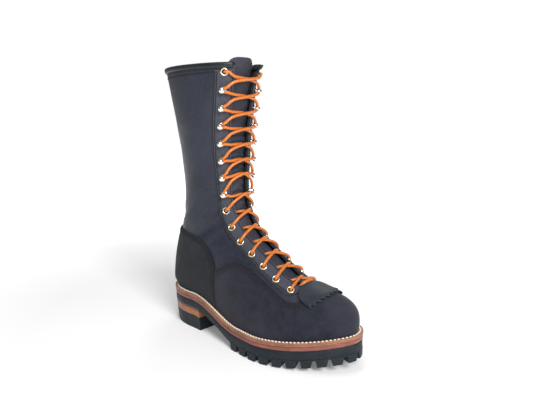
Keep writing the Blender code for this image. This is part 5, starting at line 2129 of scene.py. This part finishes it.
        slip, lift = form.heel_slip, form.heel_lift
        self.heel_layer(
            "heel_slip_layer", (0.0014, 0.0012), below(gap + slip), below(gap),
            "slip_side", "slip_leather", ["heel_slip"],
        )
        self.heel_layer(
            "heel_lift_layer", (0.0018, 0.0014), below(2 * gap + slip + lift), below(2 * gap + slip),
            "lift_side", "lift_leather", ["heel_lift"],
        )
        self.dressed("heel", "black_rubber", 0.0008)

    def heel_layer(
        self, name: str, insets: tuple[float, float], under: Callable[[Array], Array],
        over: Callable[[Array], Array], finish: str, slot: str, nodes: Sequence[str],
    ) -> None:
        """A layer of the heel, cut straight at its breast.

        Args:
            name: The name.
            insets: How far the underside and the top lie inside the outline.
            under: Height of the underside at x.
            over: Height of the top at x.
            finish: Name of its finish.
            slot: The record's material slot.
            nodes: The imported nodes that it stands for.
        """
        form = self.form
        widest = max(insets)
        theta = np.linspace(0.0, math.pi / 2, 46)
        x = widest + 1e-5 + (form.heel_length - widest - 1e-5) * (1 - np.cos(theta))
        rings = []
        for inset, height in zip(insets, (under, over)):
            lateral, medial = form.sides(x, inset)
            side_a = np.column_stack([x, lateral, height(x)])
            side_b = np.column_stack([x, medial, height(x)])[::-1]
            rings.append(np.vstack([side_a, side_b]))
        vertices = np.vstack(rings)
        count = len(rings[0])
        faces = [(i, (i + 1) % count, count + (i + 1) % count, count + i) for i in range(count)]
        for low, flip in ((0, True), (count, False)):
            for i in range(len(x) - 1):
                corners = (low + i, low + i + 1, low + count - i - 2, low + count - i - 1)
                faces.append(corners[::-1] if flip else corners)
        made = self.bench.piece(name, vertices, faces, (finish,), slot, nodes, sharp=40.0)
        self.soften(made, 0.0005)

    def insole(self) -> None:
        """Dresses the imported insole, which shows through the collar."""
        self.dressed("insole", "insole_face", 0.0006)

    def dressed(self, name: str, finish: str, width: float) -> None:
        """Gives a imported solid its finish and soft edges.

        Args:
            name: Name of the solid.
            finish: Name of its finish.
            width: Width of the soft edges.
        """
        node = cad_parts[name]
        node.data.materials.clear()
        node.data.materials.append(self.bench.finish(finish))
        self.soften(node, width, 30.0)


@dataclass(frozen=True)
class Stand:
    """One place on a facing: its row, side, point and frame."""

    row: float
    side: Side
    point: Array
    normal: Array
    away: Array


@dataclass
class Hardware:
    """Eyelets and speed hooks on both facings."""

    last: Last
    bench: Bench
    seat: float = 0.0018
    eyelets: int = 7
    hooks: int = 7
    pitch: float = 0.0236
    first: float = 0.0105
    top_drop: float = 0.0098
    eyelet_outer: float = 0.0050
    eyelet_bore: float = 0.0028
    eyelet_height: float = 0.0013
    hook_base: float = 0.0042
    hook_rise: float = 0.0066

    def rows(self) -> Array:
        """Row of the last at each station, spaced along the facing's middle.

        Returns:
            The rows, from the toe up.
        """
        rows = np.linspace(self.last.facing_end[0], TOP_ROW, 300)
        shares = self.middle(rows, LATERAL)[:, None]
        line = self.last.points(rows, shares, LATERAL)[:, 0]
        run = run_along(line)
        places = [self.first + k * self.pitch for k in range(self.eyelets)]
        places += list(np.linspace(places[-1], run[-1] - self.top_drop, self.hooks + 2)[1:])
        return np.interp(places, run, rows)

    def middle(self, rows: Array, side: Side) -> Array:
        """Share of the facing's middle at these rows."""
        across = self.last.throat(rows) + self.last.facing_width / 2
        return across / self.last.lengths(rows, side)

    def stand(self, row: float, side: Side) -> Stand:
        """The frame of one station.

        Args:
            row: Row of the station.
            side: The side of the boot.

        Returns:
            The station.
        """
        rows = np.array([row])
        share = self.middle(rows, side)
        point, normal = self.last.skin(rows, share[:, None], side)
        further, _ = self.last.skin(rows, share[:, None] + 0.02, side)
        point, normal = point[0, 0], normal[0, 0]
        away = further[0, 0] - point
        away = unit(away - normal * float(np.dot(away, normal)))
        return Stand(row, side, point, normal, away)

    def build(self) -> None:
        """Builds each eyelet and hook in the place of its node."""
        ring = self.ring_shape()
        hook = self.hook_shape()
        for side in Side:
            for k, row in enumerate(self.rows()):
                stand = self.stand(float(row), side)
                is_hook = self.eyelets <= k < self.eyelets + self.hooks
                kind = "hook" if is_hook else "eyelet"
                node = f"{kind}_{side.label}_{k + 1:02d}"
                shape, picks = (hook if is_hook else ring)[:2], None if is_hook else ring[2]
                self.fix(node, stand, shape[0], shape[1], picks, is_hook)

    def fix(
        self, node: str, stand: Stand, vertices: Array, faces: list, picks: Optional[list],
        is_hook: bool
    ) -> None:
        """Sets one piece of hardware on its station.

        Args:
            node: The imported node.
            stand: The station.
            vertices: Its vertices, about the origin.
            faces: Its faces.
            picks: Which finish each face takes.
            is_hook: Whether it is a hook.
        """
        across = np.cross(stand.normal, stand.away)
        turned = vertices[:, :1] * stand.away + vertices[:, 1:2] * across + vertices[:, 2:] * stand.normal
        placed = turned + stand.point + stand.normal * self.seat
        # Eyelets take the near-black painted shade on the disc that stands in for the hole.
        finishes = ("bright_nickel",) if is_hook else ("pale_brass", "painted_recess_shade")
        slot = "hook_nickel" if is_hook else "eyelet_brass"
        self.bench.piece(f"{node}_metal", placed, faces, finishes, slot, [node], picks, sharp=60.0)

    def ring_shape(self) -> tuple[Array, list, list]:
        """A rolled eyelet ring with a flat near-black disc across its bore: painted shade standing in for the
        hole.

        Returns:
            Vertices, faces, and which finish each face takes.
        """
        bore, outer, high = self.eyelet_bore, self.eyelet_outer, self.eyelet_height
        middle, half = (bore + outer) / 2, (outer - bore) / 2
        profile = [(outer, -0.0003)]
        for turn in np.linspace(0.0, math.pi, 9):
            profile.append((middle + half * math.cos(turn), high * math.sin(turn) ** 0.8))
        profile += [(bore * 0.97, -0.0010), (bore * 0.90, -0.0012)]
        steps, size = 28, len(profile)
        vertices, faces, picks = [], [], []
        for k in range(steps):
            angle = 2 * math.pi * k / steps
            vertices += [(r * math.cos(angle), r * math.sin(angle), z) for r, z in profile]
        for k in range(steps):
            follow = (k + 1) % steps
            for a in range(size - 1):
                faces.append((k * size + a, follow * size + a, follow * size + a + 1, k * size + a + 1))
                picks.append(0)
        # A flat near-black disc just above the leather closes the bore: painted shade where the hole would
        # be.
        centre = len(vertices)
        vertices += [(0.0, 0.0, 0.00015), (0.0, 0.0, -0.0006)]
        shade_disc = []
        for k in range(steps):
            angle = 2 * math.pi * k / steps
            shade_disc.append(len(vertices))
            vertices.append((bore * 1.02 * math.cos(angle), bore * 1.02 * math.sin(angle), 0.00015))
        for k in range(steps):
            follow = (k + 1) % steps
            faces.append((shade_disc[k], shade_disc[follow], centre))
            picks.append(1)
            faces.append((k * size, centre + 1, follow * size))
            picks.append(0)
        for k in range(steps):
            follow = (k + 1) % steps
            faces.append((follow * size + size - 1, centre + 1, k * size + size - 1))
            picks.append(0)
        return np.array(vertices), faces, picks

    def hook_shape(self) -> tuple[Array, list]:
        """A speed hook: a riveted foot, a neck by the throat, and a domed lip that curls outwards.

        Returns:
            Vertices and faces.
        """
        rise, base = self.hook_rise, self.hook_base
        vertices: list = []
        faces: list = []
        foot = [
            (0.0, 0.0), (base, 0.0), (base * 1.02, 0.0004), (base * 0.9, 0.0009), (base * 0.55, 0.0011),
            (0.0, 0.0012),
        ]
        steps, size = 20, len(foot)
        for k in range(steps):
            angle = 2 * math.pi * k / steps
            vertices += [(r * math.cos(angle), r * math.sin(angle), z) for r, z in foot]
        for k in range(steps):
            follow = (k + 1) % steps
            for a in range(len(foot) - 1):
                low, high = k * size + a, follow * size + a
                faces.append((low, high, high + 1, low + 1))
        neck = -0.0016
        path = [(neck, 0.0006, 0.0019, 0.0006), (neck, 0.0020, 0.0018, 0.0006)]
        path += [(neck + 0.0001, 0.0036, 0.0020, 0.0006)]
        path += [(neck + 0.0006, 0.0052, 0.0026, 0.0007), (neck + 0.0018, rise - 0.0003, 0.0032, 0.0008)]
        path += [(neck + 0.0034, rise, 0.0034, 0.0009), (neck + 0.0050, rise - 0.0006, 0.0031, 0.0009)]
        path += [(neck + 0.0062, rise - 0.0017, 0.0023, 0.0007)]
        path += [(neck + 0.0067, rise - 0.0027, 0.0010, 0.0004)]
        knots = np.array(path)
        fine = curve_through(np.arange(len(knots)), knots, np.linspace(0, len(knots) - 1, 26))
        way = unit(np.gradient(fine[:, :2], axis=0))
        start, around = len(vertices), 14
        for (x, z, wide, thick), (dx, dz) in zip(fine, way):
            for k in range(around):
                angle = 2 * math.pi * k / around
                flat, deep = math.cos(angle), math.sin(angle)
                bulge = thick * deep * (1.0 + 0.5 * (1 - flat * flat))
                vertices.append((x - dz * bulge, wide * flat, z + dx * bulge))
        for i in range(len(fine) - 1):
            low, high = start + i * around, start + (i + 1) * around
            for k in range(around):
                follow = (k + 1) % around
                faces.append((low + k, high + k, high + follow, low + follow))
        faces.append(tuple(start + k for k in range(around)))
        faces.append(tuple(start + (len(fine) - 1) * around + k for k in range(around))[::-1])
        return np.array(vertices), faces


@dataclass
class Lace:
    """The lace: a bar above the kiltie, crosses through the eyelets, turns round the hooks."""

    last: Last
    bench: Bench
    hardware: Hardware
    radius: float = 0.0019
    tucked: float = 0.0014
    step: float = 0.0009
    around: int = 12
    over: float = 0.0044
    under: float = -0.0036
    dive: float = -0.0026

    def build(self) -> None:
        """Builds both ends of the lace as one piece."""
        rows = self.hardware.rows()
        vertices, faces, uvs, start = [], [], [], 0
        for first in Side:
            line, radii = self.strand(first, rows)
            points, quads, corners = self.tube(line, radii)
            vertices.append(points)
            faces += [tuple(c + start for c in face) for face in quads]
            uvs += corners
            start += len(points)
        self.bench.piece(
            "lace_braid", np.vstack(vertices), faces, ("orange_braid",), "lace_cord", ["lace"], sharp=80.0,
            uvs=np.array(uvs),
        )

    def strand(self, first: Side, rows: Array) -> tuple[Array, Array]:
        """Route of one end of the lace.

        Args:
            first: The side on which it starts.
            rows: Rows of the stations.

        Returns:
            Points of its centre line and its radius at each.
        """
        route: list[tuple[float, float, float, float]] = []
        low = float(rows[0])
        gaps = np.diff(rows, append=rows[-1] + 0.85)
        full, thin = self.radius, self.tucked
        sign = first.value
        route.append((low - 0.27, 0.0, 0.0056, full))
        route.append((low - 0.24, sign * 0.0062, 0.0052, full))
        route.append((low - 0.17, sign * 0.0098, 0.0014, full))
        route.append((low - 0.06, sign * 0.0132, self.under, thin))
        count = len(rows)
        for k in range(count):
            row = float(rows[k])
            side = sign if k % 2 == 0 else -sign
            middle = self.last.throat(np.array([row]))[0] + self.last.facing_width / 2
            edge = self.last.throat(np.array([row]))[0]
            gap = float(gaps[k])
            if self.hardware.eyelets <= k < count - 1:
                self.turn_at_hook(route, row, side, middle, gap)
            elif k < count - 1:
                route.append((row - 0.05 * gap, side * (middle - 0.0012), self.under - 0.0004, thin))
                route.append((row, side * middle, 0.0006, full * 0.92))
                route.append((row + 0.01 * gap, side * (middle - 0.0010), 0.0034, full))
                route.append((row + 0.04 * gap, side * (middle - 0.0050), self.over, full))
            else:
                route.append((row - 0.01 * gap, side * (middle - 0.0050), self.over, full))
                route.append((row, side * (middle - 0.0012), 0.0038, full))
                route.append((row, side * middle, 0.0008, full * 0.92))
                route.append((row, side * (middle - 0.0002), self.dive, thin))
            if k < count - 1:
                self.cross(route, rows, k, side, first)
        line = np.array([self.last.place(row, across, height)[0] for row, across, height, _ in route])
        radii = np.array([r for *_, r in route])
        return self.smooth(line, radii)

    def turn_at_hook(self, route: list, row: float, side: int, middle: float, gap: float) -> None:
        """The lace's way round a hook's neck, under its lip.

        Args:
            route: The route so far, which grows.
            row: Row of the station.
            side: Sign of Y at the hook.
            middle: Distance of the hook from the centre line.
            gap: Rows to the next station.
        """
        high = self.hardware.seat + self.radius + 0.0016
        turn, full = 0.09 * gap, self.radius
        route.append((row - 1.3 * turn, side * (middle - 0.0046), high + 0.0008, full))
        route.append((row - 0.8 * turn, side * (middle - 0.0004), high, full * 0.96))
        route.append((row, side * (middle + 0.0018), high, full * 0.92))
        route.append((row + turn, side * (middle - 0.0002), high, full * 0.96))
        route.append((row + 1.9 * turn, side * (middle - 0.0040), high + 0.0008, full))

    def cross(self, route: list, rows: Array, k: int, side: int, first: Side) -> None:
        """The lace's way over the tongue from one station to the next.

        Args:
            route: The route so far, which grows.
            rows: Rows of the stations.
            k: Number of the station left.
            side: Sign of Y there.
            first: The side on which the strand starts.
        """
        here, gap = float(rows[k]), float(rows[k + 1] - rows[k])
        edge = float(self.last.throat(np.array([here + gap / 2]))[0])
        above = (first is LATERAL) == (k % 2 == 0)
        lift = 0.0018 if above else -0.0018
        full = self.radius
        if k >= self.hardware.eyelets:
            route.append((here + 0.44 * gap, side * (edge + 0.0010), 0.0046 + lift * 0.3, full))
            route.append((here + 0.60 * gap, 0.0, 0.0024 + lift, full))
            route.append((here + 0.76 * gap, -side * (edge + 0.0010), 0.0044 + lift * 0.3, full))
        elif k == self.hardware.eyelets - 1:
            route.append((here + 0.16 * gap, side * (edge + 0.0005), 0.0036 + lift * 0.3, full))
            route.append((here + 0.42 * gap, 0.0, 0.0016 + lift, full))
            route.append((here + 0.70 * gap, -side * (edge + 0.0010), 0.0040 + lift * 0.3, full))
        else:
            route.append((here + 0.12 * gap, side * (edge + 0.0005), 0.0034 + lift * 0.3, full))
            route.append((here + 0.30 * gap, 0.0, 0.0012 + lift, full))
            route.append((here + 0.44 * gap, -side * edge * 0.72, -0.0008 + lift * 0.3, full))
            route.append((here + 0.52 * gap, -side * (edge - 0.0006), self.under + 0.0008, full * 0.9))
            route.append((here + 0.60 * gap, -side * (edge + 0.0040), self.under, self.tucked))

    def smooth(self, line: Array, radii: Array) -> tuple[Array, Array]:
        """A smooth curve through the route, with points at even steps.

        Args:
            line: Points of the route.
            radii: Radius at each point.

        Returns:
            Points and radii.
        """
        steps = np.linalg.norm(np.diff(line, axis=0), axis=1) ** 0.5
        knots = np.concatenate([[0.0], np.cumsum(steps)])
        values = np.column_stack([line, radii])
        dense = curve_through(knots, values, np.linspace(0, knots[-1], 60 * len(line)))
        run = run_along(dense[:, :3])
        places = np.linspace(0.0, run[-1], int(run[-1] / self.step))
        even = read_along(places, run, dense)
        return even[:, :3], even[:, 3]

    def tube(self, line: Array, radii: Array) -> tuple[Array, list, list]:
        """A round tube along a line, with lengthwise and round coordinates for its faces.

        Args:
            line: Points of the centre line.
            radii: Radius at each point.

        Returns:
            Vertices, faces, and coordinates of the face corners.
        """
        tangent = unit(np.gradient(line, axis=0))
        side = unit(np.cross(tangent[0], [0.0, 0.0, 1.0]))
        sides = []
        for way in tangent:
            side = unit(side - way * float(np.dot(side, way)))
            sides.append(side)
        sides = np.array(sides)
        other = np.cross(tangent, sides)
        run = run_along(line)
        angles = np.linspace(0.0, 2 * math.pi, self.around, endpoint=False)
        ring = np.cos(angles)[None, :, None] * sides[:, None] + np.sin(angles)[None, :, None] * other[:, None]
        vertices = (line[:, None] + ring * radii[:, None, None]).reshape(-1, 3)
        faces, uvs = [], []
        count = self.around
        for i in range(len(line) - 1):
            for k in range(count):
                follow = (k + 1) % count
                here, there = i * count, (i + 1) * count
                faces.append((here + k, here + follow, there + follow, there + k))
                low, high = k / count, (k + 1) / count
                uvs += [(run[i], low), (run[i], high), (run[i + 1], high), (run[i + 1], low)]
        for ring_start, flip in ((0, True), ((len(line) - 1) * count, False)):
            cap = [ring_start + k for k in range(count)]
            faces.append(tuple(cap[::-1] if flip else cap))
            uvs += [(0.0, 0.0)] * count
        return vertices, faces, uvs


@dataclass
class Studio:
    """A pale floor, soft lights and the photograph's camera."""

    camera_place: tuple[float, float, float] = (0.5903, -0.4955, 0.2950)
    target: tuple[float, float, float] = (0.108, 0.0, 0.150)
    roll: float = -1.13
    focal_pixels: float = 537.68
    picture_width: float = 533.0
    picture_height: float = 403.0
    principal: tuple[float, float] = (250.44, 228.08)
    sensor: float = 36.0
    ambient: float = 0.22
    aim: tuple[float, float, float] = (0.09, 0.0, 0.16)
    lights: tuple[tuple[str, tuple[float, float, float], float, float, float], ...] = (
        ("key", (1.70, -0.72, 1.25), 0.8, 0.9, 46.0),
        ("fill", (-0.7, -1.6, 0.9), 1.0, 1.0, 1.6),
        ("top", (-0.1, -0.2, 1.9), 1.0, 1.0, 6.0),
        ("rim", (-0.6, 1.3, 1.1), 0.8, 0.9, 6.0),
    )

    def build(self) -> None:
        """Sets up the floor, the world, the lights and the camera."""
        self.floor()
        self.world()
        for lamp in self.lights:
            self.light(*lamp)
        self.camera()

    def floor(self) -> None:
        """A wide pale floor that isn't part of the boot, glowing more away from the boot as painted light."""
        reach, steps = 4.0, 8
        places = np.linspace(-reach, reach, steps + 1)
        vertices = [(x, y, 0.0) for x in places for y in places]
        faces = []
        for i in range(steps):
            for k in range(steps):
                low = i * (steps + 1) + k
                faces.append((low, low + steps + 1, low + steps + 2, low + 1))
        mesh = bpy.data.meshes.new("floor")
        mesh.from_pydata(vertices, [], faces)
        paint = Palette("floor_paper")
        tone = paint.noise(0.4, 2.0, 0.5)
        colour = paint.ramp(tone, [(0.3, (0.86, 0.86, 0.86)), (0.7, (0.90, 0.90, 0.90))])
        # Painted light: the floor glows more the further it lies from the boot, so the far floor stays white
        # where the lamps fade, while the shadows near the boot stay grey.
        away = paint.tree.nodes.new("ShaderNodeVectorMath")
        away.operation = "LENGTH"
        paint.link(paint.where, away.inputs[0])
        glow = paint.span(away.outputs["Value"], 0.16, 1.00, 0.25, 1.3)
        paint.link(glow, paint.shader.inputs["Emission Strength"])
        paint.set(Emission_Color=(1.0, 1.0, 1.0, 1.0))
        mesh.materials.append(paint.finish(colour, paint.span(tone, 0.7, 0.8), paint.bump(tone, 0.0001)))
        made = bpy.data.objects.new("floor", mesh)
        bpy.context.scene.collection.objects.link(made)

    def world(self) -> None:
        """A white surround that lights the boot more softly than it shows."""
        world = bpy.data.worlds.new("studio")
        world.use_nodes = True
        tree = world.node_tree
        shade = tree.nodes["Background"]
        shade.inputs["Color"].default_value = (1.0, 1.0, 1.0, 1.0)
        seen = tree.nodes.new("ShaderNodeLightPath").outputs["Is Camera Ray"]
        level = tree.nodes.new("ShaderNodeMapRange")
        level.inputs["To Min"].default_value = self.ambient
        level.inputs["To Max"].default_value = 1.0
        tree.links.new(seen, level.inputs["Value"])
        tree.links.new(level.outputs["Result"], shade.inputs["Strength"])
        scene = bpy.context.scene
        scene.world = world
        scene.view_settings.view_transform = "Standard"

    def light(
        self, name: str, place: tuple[float, float, float], width: float, height: float, power: float
    ) -> None:
        """A soft rectangular light aimed at the boot.

        Args:
            name: The name.
            place: Its place.
            width: Its width.
            height: Its height.
            power: Its power in watts.
        """
        lamp = bpy.data.lights.new(name, "AREA")
        lamp.shape = "RECTANGLE"
        lamp.size, lamp.size_y = width, height
        lamp.energy = power
        made = bpy.data.objects.new(name, lamp)
        made.location = place
        aim = Vector(self.aim) - Vector(place)
        made.rotation_euler = aim.to_track_quat("-Z", "Y").to_euler()
        bpy.context.scene.collection.objects.link(made)

    def camera(self) -> None:
        """The camera fitted to the photograph."""
        data = bpy.data.cameras.new("camera")
        data.sensor_width = self.sensor
        data.lens = self.focal_pixels / self.picture_width * self.sensor
        data.shift_x = (self.picture_width / 2 - self.principal[0]) / self.picture_width
        data.shift_y = (self.principal[1] - self.picture_height / 2) / self.picture_width
        made = bpy.data.objects.new("camera", data)
        back = (Vector(self.camera_place) - Vector(self.target)).normalized()
        right = Vector((0.0, 0.0, 1.0)).cross(back).normalized()
        up = back.cross(right)
        turn = math.radians(self.roll)
        rolled = right * math.cos(turn) + up * math.sin(turn)
        raised = up * math.cos(turn) - right * math.sin(turn)
        turned = Matrix((rolled, raised, back)).transposed().to_4x4()
        made.matrix_world = Matrix.Translation(self.camera_place) @ turned
        bpy.context.scene.collection.objects.link(made)
        bpy.context.scene.camera = made


def main() -> None:
    """Builds the boot's sub-assemblies in order and reports each piece."""
    logging.basicConfig(level=logging.INFO, format="%(message)s")
    form = SoleForm()
    last = Last(form)
    bench = Bench(shift=form.heel_length / 2)
    bench.finishes = {finish.name: finish.make() for finish in FINISHES}
    needle = Needle(bench)
    Studio().build()
    Sole(form, bench, needle).build()
    Upper(last, bench, Hide(last, bench), needle).build()
    Leaves(last, bench).build()
    hardware = Hardware(last, bench)
    hardware.build()
    Lace(last, bench, hardware).build()
    log.info("%d pieces, %d faces", len(bench.made), sum(len(made.data.polygons) for made in bench.made))


if __name__ == "__main__":
    main()
